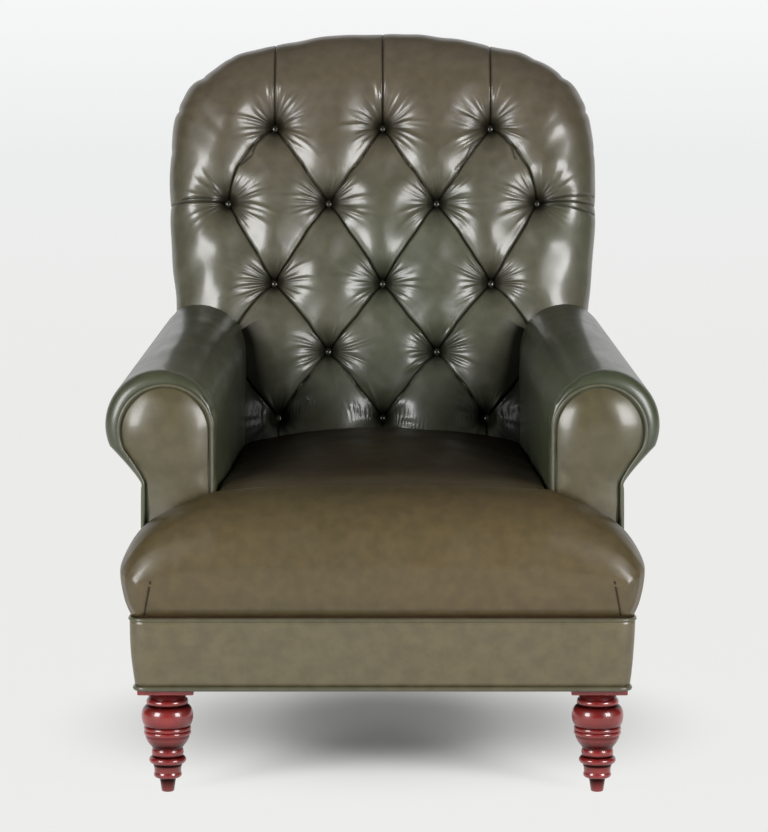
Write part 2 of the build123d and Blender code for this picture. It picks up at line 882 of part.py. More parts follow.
def back_cavity(lift):
    """Room for timber, webbing and hessian behind the stuffing."""
    return crest_space() & behind(hessian_plane, lift)


def back_strips(upright):
    """Webbing strips across or up the back."""
    low = webbing_thickness + fit_gap if upright else 0
    span = crest_shoulder_height - (rail_top - inside_back_height)
    strips = []
    for row in (-1, 0, 1):
        if upright:
            place = Pos(row * button_pitch, span / 2, low)
            size = (webbing_width, span)
        else:
            place = Pos(0, span / 2 + row * span / 4, low)
            size = (post_outer_x * 2 - overrun, webbing_width)
        strip = Box(*size, webbing_thickness, align=(Align.CENTER, Align.CENTER, Align.MIN))
        strips.append(hessian_plane * Pos(0, rail_thickness, 0) * place * strip)
    return strips


def back_hessian():
    """Hessian over the back webbing."""
    low = webbing_thickness * 2 + fit_gap * 2
    layer = behind(hessian_plane, low + cloth_thickness) - behind(hessian_plane, low)
    return (crest_space() & layer) - below(rail_top + lower_rail_drop)


def wad_places():
    """Each button with the place along its twine where the webbing ends."""
    return [(x, y, along_normal(y, post_front_depth, rail_top, hessian_slope)) for x, y in buttons]


def button_twines():
    """Twines from the buttons through the stuffing to their wads."""
    floor = back_crown - button_sink
    twines = []
    for x, y, back in wad_places():
        twine = Cylinder(twine_radius, floor - back, align=(Align.CENTER, Align.CENTER, Align.MIN))
        twines.append(inside_plane * Pos(x, y, back) * twine)
    return group(twines)


def button_wads():
    """Wads that hold the twines behind the webbing."""
    wads = []
    for x, y, back in wad_places():
        wad = Cylinder(wad_radius, wad_height * 2, align=(Align.CENTER, Align.CENTER, Align.MAX))
        wads.append((inside_plane * Pos(x, y, back) * wad) & behind(hessian_plane))
    return group(wads)


def back_buttons():
    """Covered buttons at the foot of their wells."""
    button = Cylinder(button_radius, button_height, align=(Align.CENTER, Align.CENTER, Align.MIN))
    rim = button.edges().group_by(Axis.Z)[-1]
    button = fillet(rim, radius=button_height * 3 / 4)
    floor = back_crown - button_sink
    return group(inside_plane * Pos(x, y, floor) * button for x, y in buttons)


def back_sheet(growth, lift_low, lift_high):
    """Flat sheet of the back's outline between two lifts off the outside plane."""
    prism = inside_plane * Pos(0, 0, -back_reach) * extrude(back_outline(growth), amount=back_reach)
    layer = behind(outside_plane, lift_high) - behind(outside_plane, lift_low)
    return (prism & layer) - below(rail_top + fit_gap)


def outside_back_panel():
    """Leather panel across the outside of the back."""
    return back_sheet(-back_welt_width - fit_gap, -leather, 0)


def back_edge_welt():
    """Welt between the outside panel and the rolled edge."""
    return back_sheet(0, -leather, 0) - back_sheet(-back_welt_width, -leather * 2, leather)


# Arms, drawn for the right side
arm_rise = (roll_back_height - roll_centre_height) / (arm_back_depth - arm_front_depth)


def keyhole(depth, centre_x, centre_height, radius, panel_x, low):
    """Arm section in an upright plane: a roll on a straight neck."""
    y = at(depth)
    neck = centre_height - math.sqrt(radius * radius - (panel_x - centre_x) ** 2)
    half_turn = -math.acos((panel_x - centre_x) / radius) / 2
    inner = centre_x - radius
    under = (centre_x + radius * math.cos(half_turn), y, centre_height + radius * math.sin(half_turn))
    return make_face([
        Line((inner, y, low), (inner, y, centre_height)),
        ThreePointArc(
            (inner, y, centre_height),
            (centre_x, y, centre_height + radius),
            (centre_x + radius, y, centre_height),
        ),
        ThreePointArc((centre_x + radius, y, centre_height), under, (panel_x, y, neck)),
        Line((panel_x, y, neck), (panel_x, y, low)),
        Line((panel_x, y, low), (inner, y, low)),
    ])


def blend(low, high, share):
    """Value a share of the way from low to high."""
    return low + (high - low) * share


def arm_body(inset):
    """The arm's soft body, every face moved in by inset and open below when inset."""
    low = rail_top + fit_gap if inset == 0 else rail_top - overrun
    share_back = roll_edge_depth / (arm_back_depth - arm_front_depth)
    full = [
        blend(roll_centre_x, roll_back_x, share_back),
        blend(roll_centre_height, roll_back_height, share_back),
        blend(roll_radius, roll_back_radius, share_back),
        arm_panel_x - toe * roll_edge_depth,
    ]
    edge = [facing_centre_x, facing_centre_height, facing_radius, facing_panel_x]
    sections = []
    for along_share, out_share in roll_edge_shares:
        x, height, radius, panel = [blend(a, b, out_share) for a, b in zip(edge, full)]
        depth = arm_front_depth + inset + roll_edge_depth * along_share
        sections.append(keyhole(depth, x, height, radius - inset, panel - inset, low))
    panel_back = arm_panel_x - toe * (arm_back_depth - arm_front_depth)
    back = keyhole(
        arm_back_depth - inset,
        roll_back_x,
        roll_back_height,
        roll_back_radius - inset,
        panel_back - inset,
        low,
    )
    return loft(sections + [back], ruled=True)


def arm_bar(x_low, x_high, z_low, z_high, start, end, rise):
    """Bar along the arm, toeing in, with an optional rise."""
    faces = []
    for depth in (start, end):
        shift = -toe * (depth - arm_front_depth)
        lift = rise * (depth - arm_front_depth)
        corners = [(x_low, z_low), (x_high, z_low), (x_high, z_high), (x_low, z_high)]
        faces.append(make_face(Polyline([(x + shift, at(depth), z + lift) for x, z in corners], close=True)))
    return loft(faces, ruled=True)


board_start = arm_front_depth + leather + fit_gap
board_end = board_start + scroll_board_thickness
arm_timber_x = arm_panel_x - leather - fit_gap
tack_rail_x = arm_timber_x - tack_rail_set_in
back_envelope = inside_plane * back_slab(fit_gap)


def facing_section(depth, inset, low):
    """Keyhole outline of the arm's front, moved in by inset."""
    return keyhole(
        depth,
        facing_centre_x,
        facing_centre_height,
        facing_radius - inset,
        facing_panel_x - inset,
        low,
    )


def scroll_board():
    """Keyhole board at the arm's front."""
    inset = leather + fit_gap + scroll_board_inset
    faces = []
    for depth in (board_start, board_end):
        faces.append(facing_section(depth, inset, rail_top))
    return loft(faces, ruled=True)


def arm_rail():
    """Rail under the roll, from the scroll board to the post."""
    low = arm_rail_top - arm_rail_thickness
    inner = arm_timber_x - arm_rail_width
    bar = arm_bar(inner, arm_timber_x, low, arm_rail_top, board_end, frame_depth, arm_rise)
    return bar - behind(hessian_plane)


def arm_stump():
    """Front upright of the arm, standing on the side rail."""
    high = arm_rail_top - arm_rail_thickness / 2
    inner = arm_timber_x - arm_rail_width
    stump = arm_bar(inner, arm_timber_x, rail_top, high, board_end, board_end + stump_thickness, 0)
    return stump - arm_rail()


def tack_rail():
    """Low rail that holds the foot of the inside arm."""
    low = rail_top + tack_rail_lift
    start = board_end + stump_thickness
    inner = tack_rail_x - tack_rail_width
    bar = arm_bar(inner, tack_rail_x, low, low + tack_rail_height, start, frame_depth, 0)
    return bar - behind(hessian_plane)


def arm_slope_face(depth, offset_x, thickness, low, top_gap):
    """Section of a sheet down the arm rail's inner face and on to the tack rail."""
    shift = -toe * (depth - arm_front_depth)
    lift = arm_rise * (depth - arm_front_depth)
    top_x = arm_timber_x - arm_rail_width - offset_x + shift
    low_x = tack_rail_x - tack_rail_width - offset_x + shift
    top = arm_rail_top + top_gap + lift
    knee = arm_rail_top - arm_rail_thickness + lift
    inner = [(top_x, top), (top_x, knee), (low_x, low)]
    corners = inner + [(x + thickness, z) for x, z in reversed(inner)]
    return make_face(Polyline([(x, at(depth), z) for x, z in corners], close=True))


def arm_hessian():
    """Hessian on the inner side of the arm's timber."""
    start = board_end + stump_thickness + fit_gap
    low = rail_top + tack_rail_lift
    faces = []
    for depth in (start, arm_back_depth):
        faces.append(arm_slope_face(depth, cloth_thickness + fit_gap, cloth_thickness, low, 0))
    return loft(faces, ruled=True) - back_envelope


def arm_hollow():
    """Space of the arm's timber, behind the scroll board."""
    offset_x = cloth_thickness + fit_gap * 2
    wide = arm_panel_x - tack_rail_x + tack_rail_width + offset_x
    faces = []
    for depth in (board_start - overrun, arm_back_depth + overrun):
        faces.append(arm_slope_face(depth, offset_x, wide + overrun / 2, rail_top - overrun, fit_gap))
    hollow = loft(faces, ruled=True)
    outside = arm_bar(
        arm_panel_x - leather / 2, arm_panel_x + reach / 8, arm_rail_top, arm_rail_top + reach / 8,
        board_start - overrun, arm_back_depth + overrun, arm_rise
    )
    return hollow - outside


def arm_stuffing():
    """Pad inside the arm and roll over its rail."""
    pad = arm_body(leather + fit_gap) - arm_hollow() - scroll_board() - back_envelope
    pad = pad - arm_stump() - below(rail_top + fit_gap)
    return Part() + max(pad.solids(), key=lambda solid: solid.volume)


def neck_height(depth):
    """Height of the seam below the roll at a depth."""
    share = (depth - arm_front_depth - roll_edge_depth) / (arm_back_depth - arm_front_depth - roll_edge_depth)
    start_share = roll_edge_depth / (arm_back_depth - arm_front_depth)
    x = blend(roll_centre_x, roll_back_x, start_share)
    height = blend(roll_centre_height, roll_back_height, start_share)
    radius = blend(roll_radius, roll_back_radius, start_share)
    near = height - math.sqrt(radius ** 2 - (arm_panel_x - toe * roll_edge_depth - x) ** 2)
    panel_back = arm_panel_x - toe * (arm_back_depth - arm_front_depth)
    distant = roll_back_height - math.sqrt(roll_back_radius ** 2 - (panel_back - roll_back_x) ** 2)
    return blend(near, distant, share)


def outer_plate(growth, start, end):
    """Plate on the arm's outer face, up to the seam below the roll."""
    faces = []
    for depth in (start, end):
        x = arm_panel_x - toe * (depth - arm_front_depth)
        top = neck_height(depth) - fit_gap + growth
        low = rail_top + fit_gap - growth
        outer = x + growth
        inner = x - leather - growth
        corners = [(inner, low), (outer, low), (outer, top), (inner, top)]
        faces.append(make_face(Polyline([(px, at(depth), z) for px, z in corners], close=True)))
    return loft(faces, ruled=True)


def outside_arm_panel():
    """Leather panel on the outside of the arm."""
    start = arm_front_depth + roll_edge_depth
    return outer_plate(0, start, arm_back_depth) - back_envelope


def inside_arm_cover():
    """Leather over the inside, roll and front edge of the arm."""
    start = arm_front_depth + roll_edge_depth
    cover = arm_body(0) - arm_body(leather) - outer_plate(fit_gap, start - fit_gap, arm_back_depth + overrun)
    cover = cover - back_envelope
    return Part() + max(cover.solids(), key=lambda solid: solid.volume)


def facing_body(inset, base_depth):
    """Crowned keyhole pad in front of the scroll board."""
    sections = []
    for along_share, in_share in facing_crown_shares:
        draw_in = facing_soft_edge * in_share + inset + facing_welt_width + fit_gap
        depth = base_depth - (facing_bulge - inset) * along_share
        sections.append(facing_section(depth, draw_in, facing_low + inset))
    return loft(sections, ruled=True)


facing_base = arm_front_depth - fit_gap


def arm_facing():
    """Leather over the facing pad."""
    return facing_body(0, facing_base) - facing_body(leather, facing_base)


def arm_facing_pad():
    """Pad under the facing's leather."""
    return facing_body(leather + fit_gap, facing_base)


def facing_welt():
    """Welt round the facing."""
    rings = []
    for inset in (0, facing_welt_width):
        faces = []
        for depth in (facing_base, facing_base - facing_welt_height):
            faces.append(facing_section(depth, inset, facing_low - inset))
        rings.append(loft(faces, ruled=True))
    return rings[0] - rings[1]


# Seat
def seat_section(depth, top_share, low_share, wide_share, inset):
    """Section of the seat's front roll in an upright plane."""
    y = at(depth)
    draw_in = seat_corner * (1 - wide_share) + inset
    raised = [
        (seat_base_half_width - draw_in, blend(seat_bulge_height, rail_top + fit_gap, low_share)),
        (seat_bulge_half_width - draw_in, seat_bulge_height),
        (seat_ear_half_width - draw_in, blend(seat_bulge_height, seat_ear_height, top_share) - inset),
        (seat_inner_half_width - draw_in / 2, blend(seat_bulge_height, seat_inner_height, top_share) - inset),
        (0, blend(seat_bulge_height, seat_front_crown, top_share) - inset),
    ]
    if low_share < 1:
        raised[0] = (raised[0][0], raised[0][1] + inset)
    base, belly, ear, inner, crown = [(x, y, z) for x, z in raised]
    swell_x = blend(ear[0], inner[0], swell_share)
    swell_z = blend(ear[2], inner[2], swell_share + swell_lift_share)
    swell = (swell_x, y, swell_z)

    def other(point):
        return (-point[0], point[1], point[2])

    return make_face([
        Line(other(base), base),
        ThreePointArc(base, belly, ear),
        ThreePointArc(ear, swell, inner),
        ThreePointArc(inner, crown, other(inner)),
        ThreePointArc(other(inner), other(swell), other(ear)),
        ThreePointArc(other(ear), other(belly), other(base)),
    ])


def seat_front(inset):
    """Rolled front of the seat with its two ears."""
    start = -seat_overhang + inset
    end = ear_back_depth - inset
    faces = []
    for along_share, top_share, low_share, wide_share in seat_front_shares:
        faces.append(seat_section(blend(start, end, along_share), top_share, low_share, wide_share, inset))
    return loft(faces, ruled=True)


def inner_arm_x(depth):
    """Inner face of the arm at a depth."""
    share = (depth - arm_front_depth) / (arm_back_depth - arm_front_depth)
    return blend(roll_centre_x - roll_radius, roll_back_x - roll_back_radius, share)


def seat_body(inset):
    """Crowned seat between the arms."""
    faces = []
    for along_share, crown_share in seat_body_shares:
        depth = blend(seat_body_start, seat_body_end, along_share)
        y = at(depth)
        x = inner_arm_x(depth) - fit_gap - inset
        side = seat_side_height - inset
        crown = blend(seat_side_height, seat_crown, crown_share) - inset
        low = rail_top + fit_gap
        faces.append(make_face([
            Line((-x, y, low), (x, y, low)),
            Line((x, y, low), (x, y, side)),
            ThreePointArc((x, y, side), (0, y, crown), (-x, y, side)),
            Line((-x, y, side), (-x, y, low)),
        ]))
    body = loft(faces, ruled=True)
    return body - behind(inside_plane, back_crown + fit_gap + inset)


def seat_form(inset):
    """The seat's soft body, every face but its base moved in by inset."""
    return seat_front(inset) + seat_body(inset)


def seat_stuffing():
    """Stuffing over the springs."""
    points = [
        (-spring_cavity_half_width, spring_cavity_start),
        (spring_cavity_half_width, spring_cavity_start),
        (spring_cavity_half_width, spring_cavity_end),
        (-spring_cavity_half_width, spring_cavity_end),
    ]
    return seat_form(leather + fit_gap) - plan_prism(points, leg_height, spring_ceiling)


def seat_cover():
    """Leather over the seat."""
    return seat_form(0) - seat_form(leather)


def drilled(shape, cutters):
    """A piece less the holes for what passes through it."""
    for cutter in cutters:
        shape = shape - cutter
    return shape


def build():
    """Make and write every node."""
    pins = dowels()
    pins = pins + [left_of(pin) for pin in pins]
    screws = block_screws()
    screws = screws + [left_of(item) for item in screws]
    timber = {
        "front_rail": front_rail(),
        "back_rail": back_rail(),
        "right_side_rail": side_rail(),
        "left_side_rail": left_of(side_rail()),
        "right_back_post": back_post(),
        "left_back_post": left_of(back_post()),
        "right_front_corner_block": front_corner_block(),
        "left_front_corner_block": left_of(front_corner_block()),
        "right_rear_corner_block": rear_corner_block(),
        "left_rear_corner_block": left_of(rear_corner_block()),
    }
    for name, shape in timber.items():
        save(drilled(shape, pins + screws), name)
    save(group(pins), "frame_dowels")
    save(group(screws), "corner_block_screws")
    save(crest_rail(), "crest_rail")
    save(lower_back_rail(), "lower_back_rail")
    right = {
        "front_leg": front_leg(),
        "arm_rail": arm_rail(),
        "arm_stump": arm_stump(),
        "arm_tack_rail": tack_rail(),
        "arm_scroll_board": scroll_board(),
        "arm_hessian": arm_hessian(),
        "arm_stuffing": arm_stuffing(),
        "inside_arm_cover": inside_arm_cover(),
        "outside_arm_panel": outside_arm_panel(),
        "arm_facing_pad": arm_facing_pad(),
        "arm_facing": arm_facing(),
        "arm_facing_welt": facing_welt(),
    }
    for name, shape in right.items():
        save(shape, "right_" + name)
        save(left_of(shape), "left_" + name)
    save(border_band(), "border_band")
    save(border_welt(leg_height, fit_gap + leather + welt_radius), "border_bottom_welt")
    save(border_welt(rail_top + welt_radius, fit_gap + leather + border_flare), "border_top_welt")
    save(seat_webbing(True), "seat_webbing_lengthwise")
    save(seat_webbing(False), "seat_webbing_crosswise")
    save(seat_springs(), "seat_springs")
    save(seat_hessian(), "seat_hessian")
    save(seat_stuffing(), "seat_stuffing")
    save(seat_cover(), "seat_cover")
    save(dust_cover(), "dust_cover")
    save(dust_cover_tacks(), "dust_cover_tacks")

    holes = [inside_plane * hole for hole in twine_holes()]
    arm_timber = [arm_rail(), tack_rail()]
    arm_timber = arm_timber + [left_of(item) for item in arm_timber]
    pad = tufted(leather + fit_gap)
    save(drilled(tufted(0) - tufted(leather), arm_timber).cut(*holes), "inside_back_cover")
    save(drilled(pad - back_cavity(hessian_stack), arm_timber).cut(*holes), "back_stuffing")
    save(drilled(back_hessian(), arm_timber).cut(*holes), "back_hessian")
    save(group(drilled(strip, arm_timber + holes) for strip in back_strips(True)), "back_webbing_upright")
    save(group(drilled(strip, arm_timber + holes) for strip in back_strips(False)), "back_webbing_crosswise")
    save(back_buttons(), "back_buttons")
    save(button_twines(), "button_twines")
    save(button_wads(), "button_wads")
    save(outside_back_panel(), "outside_back_panel")
    save(back_edge_welt(), "back_edge_welt")


build()
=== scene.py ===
"""Looks of a tufted leather armchair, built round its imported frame. Metres, +Z up, the chair faces -Y."""
import json
import logging
import math
from dataclasses import dataclass, field
from enum import Enum

import bmesh
import bpy
import numpy as np
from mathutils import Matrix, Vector
from mathutils.bvhtree import BVHTree

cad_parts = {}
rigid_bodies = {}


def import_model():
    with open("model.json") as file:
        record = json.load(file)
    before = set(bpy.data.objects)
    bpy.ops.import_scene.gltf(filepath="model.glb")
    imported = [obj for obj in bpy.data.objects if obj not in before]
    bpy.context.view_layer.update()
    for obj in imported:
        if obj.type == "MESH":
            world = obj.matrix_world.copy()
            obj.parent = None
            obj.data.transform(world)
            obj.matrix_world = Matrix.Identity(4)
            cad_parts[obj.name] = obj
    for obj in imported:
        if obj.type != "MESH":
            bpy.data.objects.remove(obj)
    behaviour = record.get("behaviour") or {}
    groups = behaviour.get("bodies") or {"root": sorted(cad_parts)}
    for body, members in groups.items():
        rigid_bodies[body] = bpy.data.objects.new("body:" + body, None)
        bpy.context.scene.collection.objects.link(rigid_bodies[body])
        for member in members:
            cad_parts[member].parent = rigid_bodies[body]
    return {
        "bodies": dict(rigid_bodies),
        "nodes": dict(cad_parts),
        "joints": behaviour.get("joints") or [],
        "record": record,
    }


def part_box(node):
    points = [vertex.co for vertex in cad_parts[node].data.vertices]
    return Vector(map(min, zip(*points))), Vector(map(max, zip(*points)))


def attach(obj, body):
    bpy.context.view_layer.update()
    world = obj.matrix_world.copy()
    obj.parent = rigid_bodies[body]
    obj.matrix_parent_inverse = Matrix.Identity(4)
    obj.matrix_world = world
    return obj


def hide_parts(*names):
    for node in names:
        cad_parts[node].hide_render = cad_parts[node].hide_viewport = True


Array = np.ndarray
Material = bpy.types.Material
Mesh = bpy.types.Mesh
Piece = bpy.types.Object
Nodes = bpy.types.NodeTree
Socket = bpy.types.NodeSocket
Triple = tuple[float, float, float]
Section = tuple[Array, Array, Array]
Value = Socket | Triple | float
# A distance beyond the whole chair, the gap of leather tacked over timber, and a grid's four borders.
FAR = 9.0
TACKED = 0.0006
BORDERS = ((0,), (-1,), (slice(None), 0), (slice(None), -1))
log = logging.getLogger("armchair")


class Side(Enum):
    """Which side of the chair, looking at its front."""

    LEFT = -1
    RIGHT = 1

    @property
    def prefix(self) -> str:
        """Start of the names of this side's pieces."""
        return self.name.lower() + "_"


# Curves and arrays
def bell(x: Array, width: float) -> Array:
    """Gaussian bump of unit height: exp of minus the square of x over width."""
    return np.exp(-((x / width) ** 2))


def ease(x: Array) -> Array:
    """Smooth step from 0 to 1: three x squared less two x cubed."""
    x = np.clip(x, 0, 1)
    return x * x * (3 - 2 * x)


def crowded(count: int, share: float = 0.8) -> Array:
    """Shares from 0 to 1, closer together at both ends, as a blend of even steps and a cosine."""
    even = np.linspace(0, 1, count)
    return (1 - share) * even + share * (1 - np.cos(np.pi * even)) / 2


def ripple(points: Array, length: float, seed: int, waves: int = 7) -> Array:
    """Soft random field about zero: a sum of sine waves in random directions, of about one length.

    Args:
        points: places in the plane or in space, in the last axis.
        length: about the length of a wave.
        seed: start of the random draws.
        waves: how many waves are added.

    Returns:
        The field at the points.
    """
    rng = np.random.default_rng(seed)
    total = np.zeros(points.shape[:-1])
    for _ in range(waves):
        direction = rng.normal(size=points.shape[-1])
        direction *= 2 * np.pi / (length * rng.uniform(0.7, 1.5) * np.linalg.norm(direction))
        total += np.sin(points @ direction + rng.uniform(0, 2 * np.pi))
    return total / math.sqrt(waves)


def along(points: Array) -> Array:
    """Length along a line of points, from its start."""
    steps = np.linalg.norm(np.diff(points, axis=0), axis=1)
    return np.concatenate([[0], np.cumsum(steps)])


def resample(points: Array, shares: Array) -> Array:
    """Points at shares of a line's length, straight between the line's own points.

    Args:
        points: the line.
        shares: places along its length, from 0 to 1.

    Returns:
        One point for each share.
    """
    length = along(points)
    places = shares * length[-1]
    return np.stack([np.interp(places, length, points[:, k]) for k in range(points.shape[1])], axis=1)


def spline(points: Array, count: int) -> Array:
    """Smooth line through a few points: each span is a cubic with the slopes of its neighbours.

    Args:
        points: the points that it passes through.
        count: how many points it gets.

    Returns:
        Points at even steps of its length.
    """
    points = np.asarray(points, float)
    padded = np.vstack([2 * points[0] - points[1], points, 2 * points[-1] - points[-2]])
    spans = len(points) - 1
    place = np.linspace(0, spans, max(count * 4, 64))
    index = np.minimum(place.astype(int), spans - 1)
    t = (place - index)[:, None]
    p0, p1, p2, p3 = (padded[index + k] for k in range(4))
    square = 2 * p0 - 5 * p1 + 4 * p2 - p3
    cube = 3 * p1 - p0 - 3 * p2 + p3
    line = 0.5 * (2 * p1 + (p2 - p0) * t + square * t**2 + cube * t**3)
    return resample(line, np.linspace(0, 1, count))


def tangent_arc(start: Array, heading: Array, end: Array, count: int) -> tuple[Array, Array]:
    """Arc that leaves start along heading and reaches end.

    Its radius is the chord squared over twice the chord's part across the heading.

    Args:
        start: its first point.
        heading: unit direction in which it leaves.
        end: its last point.
        count: how many points it gets.

    Returns:
        The points and the heading at the end.
    """
    chord = end - start
    normal = np.array([-heading[1], heading[0]])
    across = chord @ normal
    radius = chord @ chord / (2 * across)
    turn = 2 * math.atan2(across, chord @ heading)
    angles = np.linspace(0, turn, count)[:, None]
    centre = start + normal * radius
    points = centre + radius * (np.sin(angles) * heading - np.cos(angles) * normal)
    return points, math.cos(turn) * heading + math.sin(turn) * normal


def segment_distance(points: Array, start: Array, end: Array) -> tuple[Array, Array, Array]:
    """Place of plan points beside a segment.

    Args:
        points: places in the plane.
        start: the segment's first end.
        end: its second end.

    Returns:
        The distance to it, the share along it, and the side as a sign.
    """
    chord = end - start
    share = np.clip(((points - start) @ chord) / (chord @ chord), 0, 1)
    offset = points - (start + share[..., None] * chord)
    side = chord[0] * offset[..., 1] - chord[1] * offset[..., 0]
    return np.linalg.norm(offset, axis=-1), share, np.sign(side)


# Meshes
@dataclass
class Skin:
    """Grids of points gathered into one mesh, joined where their edges meet."""

    points: list[Array] = field(default_factory=list)
    quads: list[Array] = field(default_factory=list)
    total: int = 0

    def add(self, grid: Array, around: bool = False) -> None:
        """Add a grid of points.

        Args:
            grid: rows by columns by three.
            around: whether the last column joins the first.
        """
        rows, columns = grid.shape[:2]
        number = np.arange(rows * columns).reshape(rows, columns) + self.total
        if around:
            number = np.hstack([number, number[:, :1]])
        corners = (number[:-1, :-1], number[:-1, 1:], number[1:, 1:], number[1:, :-1])
        self.quads.append(np.stack([c.ravel() for c in corners], axis=1))
        self.points.append(grid.reshape(-1, 3))
        self.total += rows * columns

    def join(self, other: "Skin") -> None:
        """Take in another skin's grids.

        Args:
            other: the skin that is added.
        """
        self.quads += [quads + self.total for quads in other.quads]
        self.points += other.points
        self.total += other.total

    def mesh(self, name: str, weld: float = 2e-5, close: bool = True) -> Mesh:
        """Weld the grids, close what is open and point the faces outwards.

        Args:
            name: the mesh's name.
            weld: distance within which points are one.
            close: whether open ends get a face.

        Returns:
            The mesh.
        """
        mesh = bpy.data.meshes.new(name)
        mesh.from_pydata(np.vstack(self.points).tolist(), [], np.vstack(self.quads).tolist())
        work = bmesh.new()
        work.from_mesh(mesh)
        bmesh.ops.remove_doubles(work, verts=work.verts, dist=weld)
        bmesh.ops.dissolve_degenerate(work, edges=work.edges, dist=weld / 4)
        if close:
            open_edges = [e for e in work.edges if e.is_boundary]
            bmesh.ops.holes_fill(work, edges=open_edges, sides=0)
        bmesh.ops.recalc_face_normals(work, faces=work.faces)
        for face in work.faces:
            face.smooth = True
        work.to_mesh(mesh)
        work.free()
        return mesh


def corner_points(mesh: Mesh) -> Array:
    """Vertex places of a mesh.

    Args:
        mesh: any mesh.

    Returns:
        One point for each vertex.
    """
    points = np.empty(len(mesh.vertices) * 3)
    mesh.vertices.foreach_get("co", points)
    return points.reshape(-1, 3)


def write_shade_map(mesh: Mesh, u: Array, v: Array) -> None:
    """Write a value pair per vertex as the mesh's own map of painted shade: 0 is darkest, 1 is unshaded.

    Args:
        mesh: the mesh.
        u: first value of each vertex, for the wells and corners.
        v: second value of each vertex, for the folds and grooves.
    """
    corners = np.empty(len(mesh.loops), dtype=np.int32)
    mesh.loops.foreach_get("vertex_index", corners)
    layer = mesh.uv_layers.new(name="patina")
    layer.data.foreach_set("uv", np.stack([u, v], axis=1)[corners].ravel())


def place(name: str, mesh: Mesh, material: Material, slot: str, *nodes: str) -> Piece:
    """Put a mesh in the scene as a piece that rides on the chair.

    Args:
        name: the piece's name.
        mesh: its mesh, already in place.
        material: its finish.
        slot: the record's material slot; not used.
        nodes: the frame's nodes that it stands for.

    Returns:
        The piece.
    """
    piece = bpy.data.objects.new(name, mesh)
    mesh.materials.append(material)
    bpy.context.scene.collection.objects.link(piece)
    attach(piece, "root")
    if nodes:
        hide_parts(*nodes)
    log.info("%s: %d faces", name, len(mesh.polygons))
    return piece


def tube(path: Array, radius: float, sides: int = 10, closed: bool = False) -> Skin:
    """Round cord along a path: at each point a circle square to the path, turned as little as possible.

    Args:
        path: its middle line.
        radius: its radius.
        sides: how many points go round it.
        closed: whether its end joins its start.

    Returns:
        Its skin.
    """
    ahead = np.roll(path, -1, axis=0) - np.roll(path, 1, axis=0)
    if not closed:
        ahead[0] = path[1] - path[0]
        ahead[-1] = path[-1] - path[-2]
    ahead /= np.linalg.norm(ahead, axis=1)[:, None]
    guide = np.zeros_like(ahead)
    guide[0] = np.cross(ahead[0], [0.31, 0.42, 0.85])
    for i in range(1, len(path)):
        guide[i] = guide[i - 1] - ahead[i] * (guide[i - 1] @ ahead[i])
    guide /= np.linalg.norm(guide, axis=1)[:, None]
    other = np.cross(ahead, guide)
    if closed:
        twist = math.atan2(guide[-1] @ other[0], guide[-1] @ guide[0])
        turn = -twist * np.linspace(0, 1, len(path))[:, None]
        cosine, sine = np.cos(turn), np.sin(turn)
        guide, other = cosine * guide + sine * other, cosine * other - sine * guide
    angles = np.linspace(0, 2 * np.pi, sides, endpoint=False)
    ring = np.cos(angles)[None, :, None] * guide[:, None] + np.sin(angles)[None, :, None] * other[:, None]
    grid = path[:, None] + radius * ring
    if closed:
        grid = np.concatenate([grid, grid[:1]])
    skin = Skin()
    skin.add(grid, around=True)
    return skin


# Finishes
def feed(nodes: Nodes, target: Socket, value: Value) -> None:
    """Link a socket to another one, or set its plain value.

    Args:
        nodes: the material's nodes.
        target: the input.
        value: a socket, a number, or a colour or vector of three numbers.
    """
    if isinstance(value, Socket):
        nodes.links.new(value, target)
    elif isinstance(value, tuple) and target.type == "RGBA":
        target.default_value = (*value, 1)
    else:
        target.default_value = value


def fill(nodes: Nodes, node: bpy.types.Node, inputs: dict[str | int, Value]) -> None:
    """Feed several inputs of a node, by name or number."""
    for key, value in inputs.items():
        feed(nodes, node.inputs[key], value)


def add(
    nodes: Nodes, kind: str, inputs: dict[str | int, Value], **settings: str
) -> bpy.types.Node:
    """New shader node with its settings and inputs.

    Args:
        nodes: the material's nodes.
        kind: Blender's word for its kind, after ShaderNode.
        inputs: what its inputs get, by name or number.
        settings: its other choices.

    Returns:
        The node.
    """
    node = nodes.nodes.new("ShaderNode" + kind)
    for name, choice in settings.items():
        setattr(node, name, choice)
    fill(nodes, node, inputs)
    return node


def tree(name: str) -> tuple[Material, Nodes, bpy.types.Node]:
    """Start a material.

    Args:
        name: the material's name.

    Returns:
        The material, its nodes and its main shader.
    """
    material = bpy.data.materials.new(name)
    material.use_nodes = True
    nodes = material.node_tree
    return material, nodes, nodes.nodes["Principled BSDF"]


def own_place(nodes: Nodes) -> Socket:
    """Coordinates of the piece itself."""
    return add(nodes, "TexCoord", {}).outputs["Object"]


def noise(nodes: Nodes, scale: float, detail: float, stretch: Triple = (1, 1, 1)) -> Socket:
    """Noise on the piece's own coordinates.

    Args:
        nodes: the material's nodes.
        scale: how many waves go in a metre.
        detail: how many finer layers it has.
        stretch: factors on the three coordinates.

    Returns:
        A value about one half.
    """
    mapping = add(nodes, "Mapping", {"Vector": own_place(nodes), "Scale": stretch})
    inputs = {"Vector": mapping.outputs["Vector"], "Scale": scale, "Detail": detail}
    return add(nodes, "TexNoise", inputs).outputs["Fac"]


def ramp(nodes: Nodes, value: Socket, stops: list[tuple[float, Triple]]) -> Socket:
    """Colour ramp.

    Args:
        nodes: the material's nodes.
        value: what it reads.
        stops: its places and colours.

    Returns:
        The colour.
    """
    node = add(nodes, "ValToRGB", {"Fac": value})
    elements = node.color_ramp.elements
    while len(elements) < len(stops):
        elements.new(0.5)
    for element, (where, colour) in zip(elements, stops):
        element.position = where
        element.color = (*colour, 1)
    return node.outputs["Color"]


